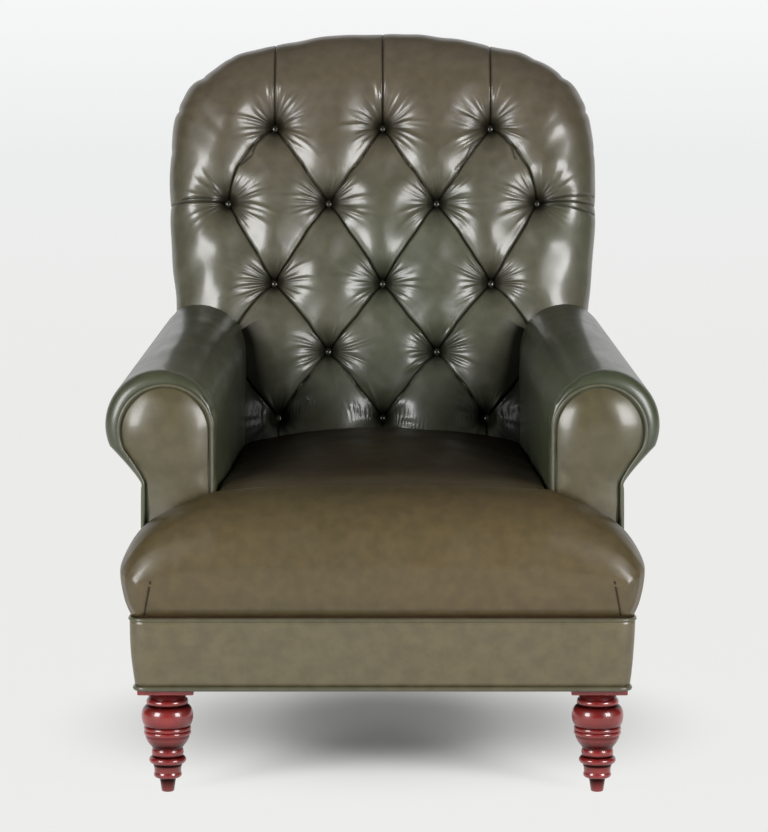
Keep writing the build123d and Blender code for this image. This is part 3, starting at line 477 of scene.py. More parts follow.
def greys(nodes: Nodes, value: Socket, *stops: tuple[float, float]) -> Socket:
    """Ramp of greys, from its places and levels."""
    return ramp(nodes, value, [(where, (level,) * 3) for where, level in stops])


def mix(nodes: Nodes, factor: Value, one: Value, two: Value, how: str = "MIX") -> Socket:
    """Mix of two colours.

    Args:
        nodes: the material's nodes.
        factor: share of the second colour.
        one: the first colour.
        two: the second colour.
        how: Blender's word for the way they mix.

    Returns:
        The colour.
    """
    node = add(nodes, "Mix", {}, data_type="RGBA", blend_type=how)
    for name, value in (("Factor", factor), ("A", one), ("B", two)):
        feed(nodes, next(s for s in node.inputs if s.name == name and s.enabled), value)
    return next(s for s in node.outputs if s.enabled)


def times(nodes: Nodes, one: Value, two: Value) -> Socket:
    """Product of two colours, where a plain number is a grey."""
    return mix(nodes, 1.0, one, (two,) * 3 if isinstance(two, float) else two, "MULTIPLY")


def scaled(nodes: Nodes, value: Socket, low: float, high: float) -> Socket:
    """Noise value spread over a range.

    Args:
        nodes: the material's nodes.
        value: noise, which lies mostly between 0.3 and 0.7.
        low: result at 0.3.
        high: result at 0.7.

    Returns:
        The value in its range.
    """
    inputs = {"Value": value, "From Min": 0.3, "From Max": 0.7, "To Min": low, "To Max": high}
    return add(nodes, "MapRange", inputs).outputs["Result"]


def bump(
    nodes: Nodes, height: Socket, strength: float, distance: float, under: Socket | None = None
) -> Socket:
    """Bump of a surface.

    Args:
        nodes: the material's nodes.
        height: what rises and falls.
        strength: how much it counts.
        distance: how high it is, in metres.
        under: bump that it lies on.

    Returns:
        The normal.
    """
    inputs = {"Strength": strength, "Distance": distance, "Height": height}
    if under is not None:
        inputs["Normal"] = under
    return add(nodes, "Bump", inputs).outputs["Normal"]


def patina(nodes: Nodes) -> tuple[Socket, Socket]:
    """The two values of the piece's own map of painted shade."""
    split = add(nodes, "SeparateXYZ", {"Vector": add(nodes, "UVMap", {}, uv_map="patina").outputs["UV"]})
    return split.outputs["X"], split.outputs["Y"]


@dataclass(frozen=True)
class Leather:
    """Glossy dyed hide: a green-olive ground with browner patches, fine pores and soft creases.

    Attributes:
        turn_axis: axis along which the colour turns to another one, if it does.
        turn_range: where the turn starts and ends on that axis.
        turned: the colour that it turns to.
        turned_sheen: share of the gloss that is left there, as painted shade of the reflections.
        paints_shade: whether shade is painted into the colour and gloss from the piece's own map.
    """

    name: str
    olive: Triple
    brown: Triple
    patch: float = 3.0
    roughness: tuple[float, float] = (0.38, 0.47)
    sheen_level: float = 0.46
    coat: float = 0.34
    coat_roughness: float = 0.20
    grain: float = 0.2
    crease: float = 0.10
    fleck_scale: float = 60
    gloss_scale: float = 22
    pore_scale: float = 620
    crease_scale: float = 38
    turn_axis: str = ""
    turn_range: tuple[float, float] = (0.0, 1.0)
    turned: Triple = (0.0, 0.0, 0.0)
    turned_sheen: float = 1.0
    paints_shade: bool = False

    def shade_grey(self, nodes: Nodes) -> Socket:
        """Painted shade in the button wells, beside the arms and along the folds, as a grey from the piece's
        own map, which also draws the seat's dart seams dark.

        Args:
            nodes: the material's nodes.

        Returns:
            The grey.
        """
        wells, folds = patina(nodes)
        well = greys(nodes, wells, (0.12, 0.10), (0.30, 0.5), (0.75, 1.0))
        fold = greys(nodes, folds, (0.0, 0.35), (0.4, 1.0))
        return times(nodes, well, fold)

    def build(self) -> Material:
        """Make the material.

        Returns:
            The material.
        """
        material, nodes, shader = tree(self.name)
        tone = ramp(nodes, noise(nodes, self.patch, 3), [(0.3, self.olive), (0.7, self.brown)])
        # On the seat and arms the turn is painted shade towards the back; on the back it is a browner tone at
        # the top.
        if self.turn_axis:
            split = add(nodes, "SeparateXYZ", {"Vector": own_place(nodes)})
            start, end = self.turn_range
            inputs = {"Value": split.outputs[self.turn_axis], "From Min": start, "From Max": end}
            turn = add(nodes, "MapRange", inputs, interpolation_type="SMOOTHSTEP").outputs["Result"]
            tone = mix(nodes, turn, tone, self.turned)
        fleck = greys(nodes, noise(nodes, self.fleck_scale, 4), (0.35, 0.86), (0.65, 1.08))
        colour = times(nodes, tone, fleck)
        fill(nodes, shader, {"Specular IOR Level": self.sheen_level, "Coat Weight": self.coat})
        # Painted shade from the piece's own map darkens the colour, the sheen and the coat; on the seat the
        # gloss is cut further at the dark end of the turn, as painted shade.
        if self.paints_shade:
            shade = self.shade_grey(nodes)
            colour = times(nodes, colour, shade)
            if self.turned_sheen < 1:
                shade = mix(nodes, turn, shade, (self.turned_sheen,) * 3, "MULTIPLY")
            sheen, coat = times(nodes, shade, self.sheen_level), times(nodes, shade, self.coat)
            fill(nodes, shader, {"Specular IOR Level": sheen, "Coat Weight": coat})
        gloss = scaled(nodes, noise(nodes, self.gloss_scale, 4), *self.roughness)
        inputs = {"Vector": own_place(nodes), "Scale": self.pore_scale}
        pores = add(nodes, "TexVoronoi", inputs, feature="DISTANCE_TO_EDGE")
        fine = bump(nodes, pores.outputs["Distance"], self.grain, 0.0004)
        soft = bump(nodes, noise(nodes, self.crease_scale, 5), self.crease, 0.004, fine)
        fill(nodes, shader, {"Base Color": colour, "Roughness": gloss, "Normal": soft})
        fill(nodes, shader, {"IOR": 1.5, "Coat Roughness": self.coat_roughness})
        return material


@dataclass(frozen=True)
class Polished:
    """French polished wood with a fine grain along one axis."""

    name: str
    dark: Triple
    light: Triple
    stretch: Triple = (1, 1, 0.12)
    roughness: float = 0.2
    roughness_spread: float = 0.12
    sheen_level: float = 0.5
    coat: float = 0.9
    coat_roughness: float = 0.08
    grain_scale: float = 420
    figure_scale: float = 34
    # Whether the piece's own map paints shade into its grooves, in colour and gloss.
    paints_shade: bool = False

    def build(self) -> Material:
        """Make the material.

        Returns:
            The material.
        """
        material, nodes, shader = tree(self.name)
        figure = noise(nodes, self.figure_scale, 5, self.stretch)
        broad = ramp(nodes, figure, [(0.3, self.dark), (0.7, self.light)])
        fine = greys(nodes, noise(nodes, self.grain_scale, 3, self.stretch), (0.3, 0.88), (0.7, 1.05))
        colour = times(nodes, broad, fine)
        shader.inputs["Coat Weight"].default_value = self.coat
        # Painted shade in the grooves of the turning darkens the colour, the sheen and the coat.
        if self.paints_shade:
            shade = greys(nodes, patina(nodes)[1], (0.0, 0.08), (0.55, 0.6), (0.95, 1.0))
            colour = times(nodes, colour, shade)
            sheen, coat = times(nodes, shade, self.sheen_level), times(nodes, shade, self.coat)
            fill(nodes, shader, {"Specular IOR Level": sheen, "Coat Weight": coat})
        gloss = scaled(nodes, noise(nodes, 90, 3), self.roughness, self.roughness + self.roughness_spread)
        grain = bump(nodes, noise(nodes, self.grain_scale, 3, self.stretch), 0.06, 0.0006)
        fill(nodes, shader, {"Base Color": colour, "Roughness": gloss, "Normal": grain})
        fill(nodes, shader, {"Coat Roughness": self.coat_roughness})
        return material


@dataclass(frozen=True)
class Woven:
    """Plain woven cloth: two crossed sets of threads."""

    name: str
    colour: Triple
    pitch: float = 0.002
    rough: float = 0.85

    def build(self) -> Material:
        """Make the material.

        Returns:
            The material.
        """
        material, nodes, shader = tree(self.name)
        faded = tuple(c * 0.8 for c in self.colour)
        shade = ramp(nodes, noise(nodes, 30, 4), [(0.3, faded), (0.7, self.colour)])
        inputs = {"Vector": own_place(nodes), "Scale": 0.05 / self.pitch, "Distortion": 0.6}
        threads = [add(nodes, "TexWave", inputs, bands_direction=way).outputs["Fac"] for way in ("X", "Y")]
        weave = add(nodes, "Math", {0: threads[0], 1: threads[1]}, operation="ADD").outputs["Value"]
        weave = bump(nodes, weave, 0.5, 0.0006)
        fill(nodes, shader, {"Base Color": shade, "Roughness": self.rough, "Normal": weave})
        return material


@dataclass(frozen=True)
class Steel:
    """Wire, screws and tacks."""

    name: str
    colour: Triple
    roughness: float = 0.35
    roughness_spread: float = 0.2

    def build(self) -> Material:
        """Make the material.

        Returns:
            The material.
        """
        material, nodes, shader = tree(self.name)
        dull = tuple(c * 0.7 for c in self.colour)
        shade = ramp(nodes, noise(nodes, 300, 4), [(0.3, dull), (0.7, self.colour)])
        gloss = scaled(nodes, noise(nodes, 200, 3), self.roughness, self.roughness + self.roughness_spread)
        fill(nodes, shader, {"Base Color": shade, "Metallic": 1.0, "Roughness": gloss})
        return material


# The chair's own frame
@dataclass(frozen=True)
class RakedPlane:
    """Plane of the buttons: x across, y up the rake, lift towards the sitter."""

    origin_y: float
    origin_z: float
    rake: float

    def world(self, plan: Array, lift: Array) -> Array:
        """Points of the room: y up the rake and lift square to it, turned by the rake about X.

        Args:
            plan: points in the plane.
            lift: distance in front of the plane.

        Returns:
            Points of the room.
        """
        sine, cosine = math.sin(self.rake), math.cos(self.rake)
        y = self.origin_y + plan[..., 1] * sine - lift * cosine
        z = self.origin_z + plan[..., 1] * cosine + lift * sine
        return np.stack([plan[..., 0], y, z], axis=-1)


@dataclass(frozen=True)
class SeatFrame:
    """Sizes that the soft pieces share, measured back from the border's front."""

    front: float
    depth: float = 0.735
    half_width: float = 0.3255
    toe: float = math.tan(math.radians(2.5))
    low: float = 0.147
    high: float = 0.240
    outside_slope: float = math.tan(math.radians(6.4))
    button_depth: float = 0.575
    button_height: float = 0.4
    rake: float = math.radians(14)

    def side(self, depth: Array) -> Array:
        """Outer face of the side rail at a depth."""
        return self.half_width - self.toe * depth

    def button_plane(self) -> RakedPlane:
        """The plane of the back's buttons."""
        return RakedPlane(self.front + self.button_depth, self.button_height, self.rake)

    def outside_lift(self, y: Array) -> Array:
        """Lift at which a line square to the button plane meets the outside of the back.

        The outside is a plane too, so the lift is the gap between the two over the sum of the slopes.

        Args:
            y: heights up the button plane.

        Returns:
            The lift at each height, which is negative.
        """
        sine, cosine = math.sin(self.rake), math.cos(self.rake)
        rise = self.button_height - self.high + y * cosine
        gap = self.button_depth - self.depth + y * sine - rise * self.outside_slope
        return gap / (cosine + sine * self.outside_slope)

    def plan(self, growth: float, front_radius: float, rear_radius: float) -> Array:
        """Closed plan of the seat timber, grown outwards, with arcs at its corners.

        Args:
            growth: distance outside the timber.
            front_radius: radius of the two front corners.
            rear_radius: radius of the two rear ones.

        Returns:
            Points of the plan in the room.
        """
        corners = np.array([
            [self.side(0) + growth, -growth],
            [self.side(self.depth) + growth, self.depth + growth],
            [-self.side(self.depth) - growth, self.depth + growth],
            [-self.side(0) - growth, -growth],
        ])
        radii = (front_radius, rear_radius, rear_radius, front_radius)
        path = []
        for k, radius in enumerate(radii):
            corner, before, after = corners[k], corners[k - 1], corners[(k + 1) % 4]
            back = (before - corner) / np.linalg.norm(before - corner)
            ahead = (after - corner) / np.linalg.norm(after - corner)
            half = math.acos(np.clip(back @ ahead, -1, 1)) / 2
            start = corner + back * radius / math.tan(half)
            arc, _ = tangent_arc(start, -back, corner + ahead * radius / math.tan(half), 9)
            path.append(arc)
        path = np.vstack(path)
        path[:, 1] += self.front
        return path


@dataclass
class Fold:
    """Crease or pleat in the tufted back, as a line in the button plane.

    Attributes:
        line: its points.
        depth: how deep the leather is drawn in at it.
        spread: how far to each side it draws.
        crack: share of a full crack at its bottom.
        lip: height of the small overlap at one side.
        fade: length along which it dies out, or 0 where it doesn't.
    """

    line: Array
    depth: float
    spread: float
    crack: float
    lip: float = 0.0
    fade: float = 0.0

    def measure(self, plan: Array) -> tuple[Array, Array, Array]:
        """Place of points beside the fold.

        Args:
            plan: points in the button plane.

        Returns:
            The distance to the line, the distance along it, and the side as a sign.
        """
        best = np.full(plan.shape[:-1], FAR)
        place = np.zeros_like(best)
        side = np.zeros_like(best)
        lengths = along(self.line)
        for k in range(len(self.line) - 1):
            distance, share, sign = segment_distance(plan, self.line[k], self.line[k + 1])
            nearer = distance < best
            best = np.where(nearer, distance, best)
            place = np.where(nearer, lengths[k] + share * (lengths[k + 1] - lengths[k]), place)
            side = np.where(nearer, sign, side)
        return best, place, side


@dataclass
class TuftedBack:
    """Inside back: deep-buttoned diamonds in a padded slab with a rolled rim.

    The skin is a patchwork whose borders are the creases. Each point of it is a point of the plain slab
    moved inwards by the fold drops around it, so a crease is a line of mesh edges. Heights and lengths
    are those of the button plane.

    Attributes:
        crown: height of the plain slab over the button plane.
        rim: width of the rolled rim.
        rim_fall: how far the rim falls away to its edge.
        rows: heights of the five button rows, from the top.
        pitch: distance between buttons of a row.
        outer: x of the outer buttons of the second row.
        low: x of the outer buttons of the lowest row.
        hidden: x at which the creases of the fourth row go behind the arms.
        edge_points: right half of the outline, from the top centre down.
        curve: radius of the dip round a button.
        deepest: greatest depth below the slab, reached softly from soft_limit on.
        wrinkle_reach: shortest and longest gathered fold at a button.
        painted_shade_reach: distance to which the painted shade of a button's well and of a fold darkens the
            leather.
        arm_end: x, z and radius of the arm's roll where it meets the back.
        shadow_reach: distance to which the arm darkens the leather, high up, and what is added low down.
        corner_shade_spread: how much further the painted shade of the two buttons in the low corners reaches.
        button_sink: how far a button's dome starts below the slab, and button_foot where it ends.
        steps: points along a crease.
    """

    plane: RakedPlane
    frame: SeatFrame
    material: Material
    crown: float = 0.024
    rim: float = 0.090
    rim_fall: float = 0.064
    rows: tuple = (0.480, 0.365, 0.243, 0.140, 0.040)
    pitch: float = 0.162
    outer: float = 0.232
    low: float = 0.155
    hidden: float = 0.240
    edge_points: tuple = (
        (0.0, 0.6335), (0.0837, 0.629), (0.171, 0.6135), (0.228, 0.5965), (0.284, 0.5585), (0.304, 0.530),
        (0.3145, 0.502), (0.3205, 0.450), (0.322, 0.385), (0.3190, 0.307), (0.3135, 0.245), (0.309, 0.190),
        (0.306, 0.120), (0.303, 0.040), (0.301, -0.050), (0.300, -0.125),
    )
    curve: float = 0.107
    button_reach: float = 0.076
    well: float = 0.006
    crease_depth: float = 0.012
    crease_spread: float = 0.050
    pleat_depth: float = 0.004
    pleat_spread: float = 0.026
    crack_depth: float = 0.0045
    crack_width: float = 0.0008
    lip_height: float = 0.0003
    lip_place: float = 0.004
    lip_width: float = 0.0028
    pleat_fade: float = 0.09
    short_creases: tuple = (
        ((-0.174, 0.470), (-0.190, 0.452), (-0.197, 0.434), (-0.213, 0.420)),
        ((0.176, 0.468), (0.193, 0.449), (0.199, 0.430)),
        ((0.152, 0.464), (0.134, 0.449), (0.126, 0.431), (0.110, 0.413)),
        ((-0.252, 0.370), (-0.275, 0.371), (-0.300, 0.370)),
        ((0.254, 0.369), (0.275, 0.373), (0.318, 0.378)),
        ((0.254, 0.361), (0.280, 0.357), (0.318, 0.351)),
    )
    rim_tucks: tuple = (
        ((0.243, 0.520), (0.300, 0.600), 0.0018),
        ((0.262, 0.480), (0.345, 0.535), 0.0020),
        ((0.215, 0.545), (0.245, 0.640), 0.0008),
        ((0.275, 0.435), (0.360, 0.460), 0.0008),
    )
    foot_round: float = 0.04
    wobble: float = 0.0007
    unevenness: float = 0.0009
    soft_limit: float = 0.028
    deepest: float = 0.036
    wrinkle_count: int = 44
    wrinkle_height: float = 0.0024
    wrinkle_reach: tuple = (0.050, 0.100)
    painted_shade_reach: tuple = (0.060, 0.009)
    arm_end: tuple = (0.270, 0.535, 0.067)
    shadow_reach: tuple = (0.050, 0.085)
    corner_shade_spread: float = 1.9
    button_radius: float = 0.0066
    button_rise: float = 0.0056
    button_sink: float = 0.0365
    button_foot: float = 0.044
    steps: int = 96

    def __post_init__(self) -> None:
        """Work out the buttons, the folds and the outline."""
        r1, r2, r3, r4, r5 = self.rows
        half = self.pitch / 2
        self.buttons = [(x, y) for y, xs in (
            (r1, (-self.pitch, 0, self.pitch)),
            (r2, (-self.outer, -half, half, self.outer)),
            (r3, (-self.pitch, 0, self.pitch)),
            (r4, (-half, half)),
            (r5, (-self.low, 0, self.low)),
        ) for x in xs]
        self.rim_line, self.rim_normal = self.outline()
        self.lines = self.crease_lines()
        self.folds = self.all_folds()

    def outline(self) -> tuple[Array, Array]:
        """Right half of the outline: a smooth curve through the listed points, a rounded foot and the hem.

        Returns:
            Its points from the top centre to the bottom centre, and its outward normals.
        """
        curve = spline(np.array(self.edge_points), 900)
        heading = curve[-1] - curve[-2]
        heading /= np.linalg.norm(heading)
        end = curve[-1] + self.foot_round * np.array([-1.05, -1.0])
        corner, _ = tangent_arc(curve[-1], heading, end, 12)
        path = [curve, corner[1:], [[0, corner[-1][1]]]]
        points = resample(np.vstack(path), np.linspace(0, 1, 1400))
        tangent = np.gradient(points, axis=0)
        tangent /= np.linalg.norm(tangent, axis=1)[:, None]
        return points, np.stack([-tangent[:, 1], tangent[:, 0]], axis=1)

    def bowed(self, start: tuple, end: tuple, bow: float = 0.0) -> Array:
        """Crease line: straight, or a parabola that leaves the straight by bow at its middle.

        Two sine waves of less than a millimetre keep it from looking ruled.

        Args:
            start: its first button.
            end: its second button.
            bow: how far its middle is out of the straight, to the left of its way.

        Returns:
            Its points, closer together at its ends.
        """
        start, end = np.array(start, float), np.array(end, float)
        share = crowded(self.steps + 1)[:, None]
        chord = end - start
        across = np.array([-chord[1], chord[0]]) / np.linalg.norm(chord)
        room = 4 * share * (1 - share)
        phase = 40 * (start[0] + 2 * start[1] + 3 * end[0])
        wobble = self.wobble * (np.sin(11 * share + phase) + 0.6 * np.sin(23 * share + 2 * phase))
        return start + chord * share + across * (bow + wobble) * room

    def crease_lines(self) -> dict[str, Array]:
        """Creases of the right half.

        Returns:
            Their lines by name, each from its lower button to its upper one.
        """
        r1, r2, r3, r4, r5 = self.rows
        half, pitch = self.pitch / 2, self.pitch
        return {
            "r2_r1_in": self.bowed((half, r2), (0, r1), 0.002),
            "r2_r1_mid": self.bowed((half, r2), (pitch, r1), -0.001),
            "r2_r1_out": self.bowed((self.outer, r2), (pitch, r1), -0.015),
            "r3_r2_in": self.bowed((0, r3), (half, r2), 0.001),
            "r3_r2_mid": self.bowed((pitch, r3), (half, r2), -0.001),
            "r3_r2_out": self.bowed((pitch, r3), (self.outer, r2), -0.002),
            "r4_r3_in": self.bowed((half, r4), (0, r3), 0.001),
            "r4_r3_mid": self.bowed((half, r4), (pitch, r3), 0.0015),
            "r4_r3_out": self.bowed((self.hidden, r4), (pitch, r3), -0.006),
            "r5_r4_in": self.bowed((0, r5), (half, r4), 0.001),
            "r5_r4_mid": self.bowed((self.low, r5), (half, r4), -0.001),
            "r5_r4_out": self.bowed((self.low, r5), (self.hidden, r4), 0.0),
        }

    def all_folds(self) -> list[Fold]:
        """Every crease and pleat of both halves.

        Returns:
            The folds: the creases, a few short ones seen on the chair, and the pleats to the rim.
        """
        r1, r2, _, r4, r5 = self.rows
        folds = []
        for k, line in enumerate(self.lines.values()):
            coarse = line[:: self.steps // 12]
            for side in (-1, 1):
                lip = self.lip_height * (1 if k % 3 else -1)
                folds.append(Fold(coarse * [side, 1], self.crease_depth, self.crease_spread, 1.0, lip * side))
        pleats = []
        for x in (-self.pitch, 0, self.pitch):
            pleats.append(((x, r1), (x, 0.8)))
        for side in (-1, 1):
            pleats.append(((side * self.outer, r2), (side * 0.45, r2)))
            pleats.append(((side * self.hidden, r4), (side * 0.45, r4)))
        for x in (-self.low, 0, self.low):
            pleats.append(((x, r5), (x, -0.3)))
        for line in self.short_creases:
            folds.append(Fold(np.array(line), 0.0010, 0.009, 0.45))
        for start, end in pleats:
            line = np.array([start, end], float)
            folds.append(Fold(line, self.pleat_depth, self.pleat_spread, 0.7, fade=self.pleat_fade))
        return folds

    def drop(self, plan: Array) -> Array:
        """How far the leather lies below the plain slab.

        Each fold and button takes an arc's worth: radius less the root of radius squared less the
        square of what is left of its spread. They add as a cube-root of cubes. The crack of the
        nearest fold is an exponential on top, and each button adds a bell.

        Args:
            plan: points in the button plane.

        Returns:
            The drop at each point.
        """
        cubes = np.zeros(plan.shape[:-1])
        crack = np.zeros_like(cubes)
        lips = np.zeros_like(cubes)
        wells = np.zeros_like(cubes)
        for fold in self.folds:
            distance, place, side = fold.measure(plan)
            left = np.clip(fold.spread - distance, 0, None)
            radius = (fold.spread**2 + fold.depth**2) / (2 * fold.depth)
            arc = radius - np.sqrt(radius**2 - left**2)
            if fold.fade:
                near = 0.35 + 1.1 * (1 - ease(place / (0.6 * fold.fade)))
                arc = arc * near
            cubes += arc**3
            sharp = self.crack_depth * fold.crack * np.exp(-distance / self.crack_width)
            if fold.fade:
                sharp = sharp * (1 - 0.55 * ease(place / (2 * fold.fade)))
            crack = np.maximum(crack, sharp)
            lips += fold.lip * side * bell(distance - self.lip_place, self.lip_width)
        for x, y in self.buttons:
            distance = np.hypot(plan[..., 0] - x, plan[..., 1] - y)
            left = np.clip(self.button_reach - distance, 0, None)
            arc = self.curve - np.sqrt(self.curve**2 - left**2)
            cubes += (arc * 1.02) ** 3
            wells = wells + self.well * bell(distance, 0.010)
        total = np.cbrt(cubes)
        room = self.deepest - self.soft_limit
        limited = self.soft_limit + room * np.tanh((total - self.soft_limit) / room)
        return np.where(total > self.soft_limit, limited, total) + crack - lips + wells

    def wrinkles(self, plan: Array) -> Array:
        """Ridges that run out from each button, fullest to its sides, and up from the top row.

        A ridge is a bell across its line, widening as it goes, times an envelope along it.

        Args:
            plan: points in the button plane.

        Returns:
            The height of the ridges at each point.
        """
        total = np.zeros(plan.shape[:-1])
        for number, (x, y) in enumerate(self.buttons):
            rng = np.random.default_rng(50 + number)
            offset = plan - np.array([x, y])
            near = np.hypot(offset[..., 0], offset[..., 1]) < self.wrinkle_reach[1] * 1.1
            local = offset[near]
            part = np.zeros(len(local))
            top_row = y == self.rows[0]
            for place in np.arange(self.wrinkle_count) + rng.uniform(-0.33, 0.33, self.wrinkle_count):
                angle = 2 * math.pi * place / self.wrinkle_count
                sideways = abs(math.cos(angle)) ** 1.5
                upwards = max(0.0, math.sin(angle)) if top_row else 0.0
                weight = 0.30 + 0.70 * max(sideways, upwards)
                ahead = local @ [math.cos(angle), math.sin(angle)]
                aside = local @ [-math.sin(angle), math.cos(angle)]
                aside = aside - rng.uniform(-3.5, 3.5) * ahead**2
                reach = rng.uniform(*self.wrinkle_reach) * (0.55 + 0.45 * weight)
                shape = ease((ahead - 0.005) / 0.012) * (1 - ease((ahead - 0.3 * reach) / (0.7 * reach)))
                width = rng.uniform(0.0009, 0.0016) + 0.030 * np.clip(ahead, 0, 1)
                part += self.wrinkle_height * rng.uniform(0.3, 1.0) * weight * shape * bell(aside, width)
            total[near] += part
        return total

    def rim_gathers(self, plan: Array) -> Array:
        """Short tucks across the rim at the shoulders: a bell with a sharper line in its middle.

        Args:
            plan: points in the button plane.

        Returns:
            Their depth at each point.
        """
        total = np.zeros(plan.shape[:-1])
        for side in (-1, 1):
            for start, end, size in self.rim_tucks:
                line = np.array([start, end]) * [side, 1]
                distance, share, _ = segment_distance(plan, line[0], line[1])
                total += size * ease(share * 1.6) * (bell(distance, 0.007) + 0.5 * np.exp(-distance / 0.0015))
        return total

    def lay(self, plan: Array, lift: Array, normal: Array, fade: Array) -> Array:
        """Move points of the plain slab in by the drops round them, and put them in the room.

        Args:
            plan: points in the button plane.
            lift: their height above it.
            normal: the slab's normal there, as across, up and lift.
            fade: 1 where the folds are whole, 0 where they have died out.

        Returns:
            Points of the room.
        """
        total = (self.drop(plan) + self.rim_gathers(plan)) * fade - self.wrinkles(plan) * fade
        total = total - self.unevenness * ripple(plan, 0.055, 4) * fade
        moved = plan - normal[..., :2] * total[..., None]
        points = self.plane.world(moved, lift - normal[..., 2] * total)
        points[..., 2] = np.maximum(points[..., 2], self.frame.high + TACKED)
        return points

    def diamond(self, left_low: Array, right_low: Array, left_high: Array, right_high: Array) -> Array:
        """Coons patch between four creases: the two ruled surfaces less the blend of the four corners.

        Args:
            left_low: crease up the left from the lowest button.
            right_low: crease up the right from it.
            left_high: crease up the right from the left button.
            right_high: crease up the left from the right button.

        Returns:
            Grid of points, with its rows up along the right and its columns up along the left.
        """
        share = crowded(self.steps + 1)
        u, v = share[None, :, None], share[:, None, None]
        low, high = right_low[None, :, :], left_high[None, :, :]
        left, right = left_low[:, None, :], right_high[:, None, :]
        ruled = (1 - v) * low + v * high + (1 - u) * left + u * right
        low_corners = (1 - u) * low[:, :1] + u * low[:, -1:]
        high_corners = (1 - u) * high[:, :1] + u * high[:, -1:]
        return ruled - ((1 - v) * low_corners + v * high_corners)

    def outer_cell(
        self, inner: Array, start: float, end: float, start_way: tuple, end_way: tuple, rows: int
    ) -> tuple[Array, Array, Array, Array]:
        """Cell from the creases out over the rim to the back's edge.

        The rim is a quarter ellipse: its sine is how far a point lies into the rim as a share of its
        width, and it falls by one less the cosine.

        Args:
            inner: crease points along the cell's inner border.
            start: where it begins on the outline, as a share of its length.
            end: where it ends there.
            start_way: direction of the pleat at its first side.
            end_way: direction of the pleat at its second side.
            rows: rows between the creases and the rim.

        Returns:
            Plan points, lifts, normals and fade of a grid.
        """
        halves = max(1, round((len(inner) - 1) / self.steps))
        share = crowded(self.steps + 1)
        spread = np.concatenate([(share[:-1] + k) / halves for k in range(halves)] + [[1.0]])
        places = (start + (end - start) * spread) * (len(self.rim_line) - 1)
        base = np.arange(len(self.rim_line))
        edge = np.stack([np.interp(places, base, self.rim_line[:, k]) for k in (0, 1)], axis=1)
        normal = np.stack([np.interp(places, base, self.rim_normal[:, k]) for k in (0, 1)], axis=1)
        for way, place, where in ((start_way, spread, 0), (end_way, 1 - spread, -1)):
            normal = normal + (np.array(way) - normal[where]) * (1 - ease(place * 3))[:, None]
        normal /= np.linalg.norm(normal, axis=1)[:, None]
        turned = 0.5 + 0.5 * np.sin(np.linspace(0, np.pi / 2, 40))[1:]
        v = np.concatenate([np.linspace(0, 0.5, rows), turned])[:, None, None]
        plan = inner[None] * (1 - v) + edge[None] * v
        from_edge = np.einsum("ijk,jk->ij", edge[None] - plan, normal)
        rim = np.minimum(self.rim, 0.98 * from_edge[0])[None]
        sine = np.clip(1 - from_edge / rim, 0, 1)
        cosine = np.sqrt(1 - sine**2)
        lift = self.crown - self.rim_fall * (1 - cosine)
        out, up = self.rim_fall * sine, rim * cosine
        length = np.hypot(out, up)
        flat = np.concatenate([normal[None] * (out / length)[..., None], (up / length)[..., None]], axis=2)
        down = np.linspace(0, 1, 9)[1:, None]
        behind = self.frame.outside_lift(edge[:, 1])[None]
        side = np.broadcast_to(edge[None], (8,) + edge.shape)
        side_lift = (self.crown - self.rim_fall) * (1 - down) + behind * down
        side_normal = np.concatenate([side * 0 + normal[None], np.zeros(side.shape[:2] + (1,))], axis=2)
        tuck = (edge - normal * 0.02)[None]
        plan = np.concatenate([plan, side, tuck])
        lift = np.concatenate([lift, side_lift, behind])
        normals = np.concatenate([flat, side_normal, side_normal[-1:]])
        fade = np.ones(plan.shape[:2])
        fade[-9:-1] = 1 - ease(down) * 0.9
        fade[-1] = 0
        return plan, lift, normals, fade

    def place_on_rim(self, x: float | None = None, y: float | None = None) -> float:
        """Place on the outline where it first reaches an x, or falls to a y.

        Args:
            x: distance from the middle.
            y: height, used where there is no x.

        Returns:
            The place as a share of the outline's length.
        """
        if x is not None:
            index = np.argmax(self.rim_line[:, 0] >= x)
        else:
            index = np.argmax(self.rim_line[:, 1] <= y)
        return index / (len(self.rim_line) - 1)

    def low_place(self, x: float) -> float:
        """Place on the outline where its foot comes back to an x, as a share of its length."""
        index = len(self.rim_line) - 1 - np.argmax(self.rim_line[::-1, 0] >= x)
        return index / (len(self.rim_line) - 1)

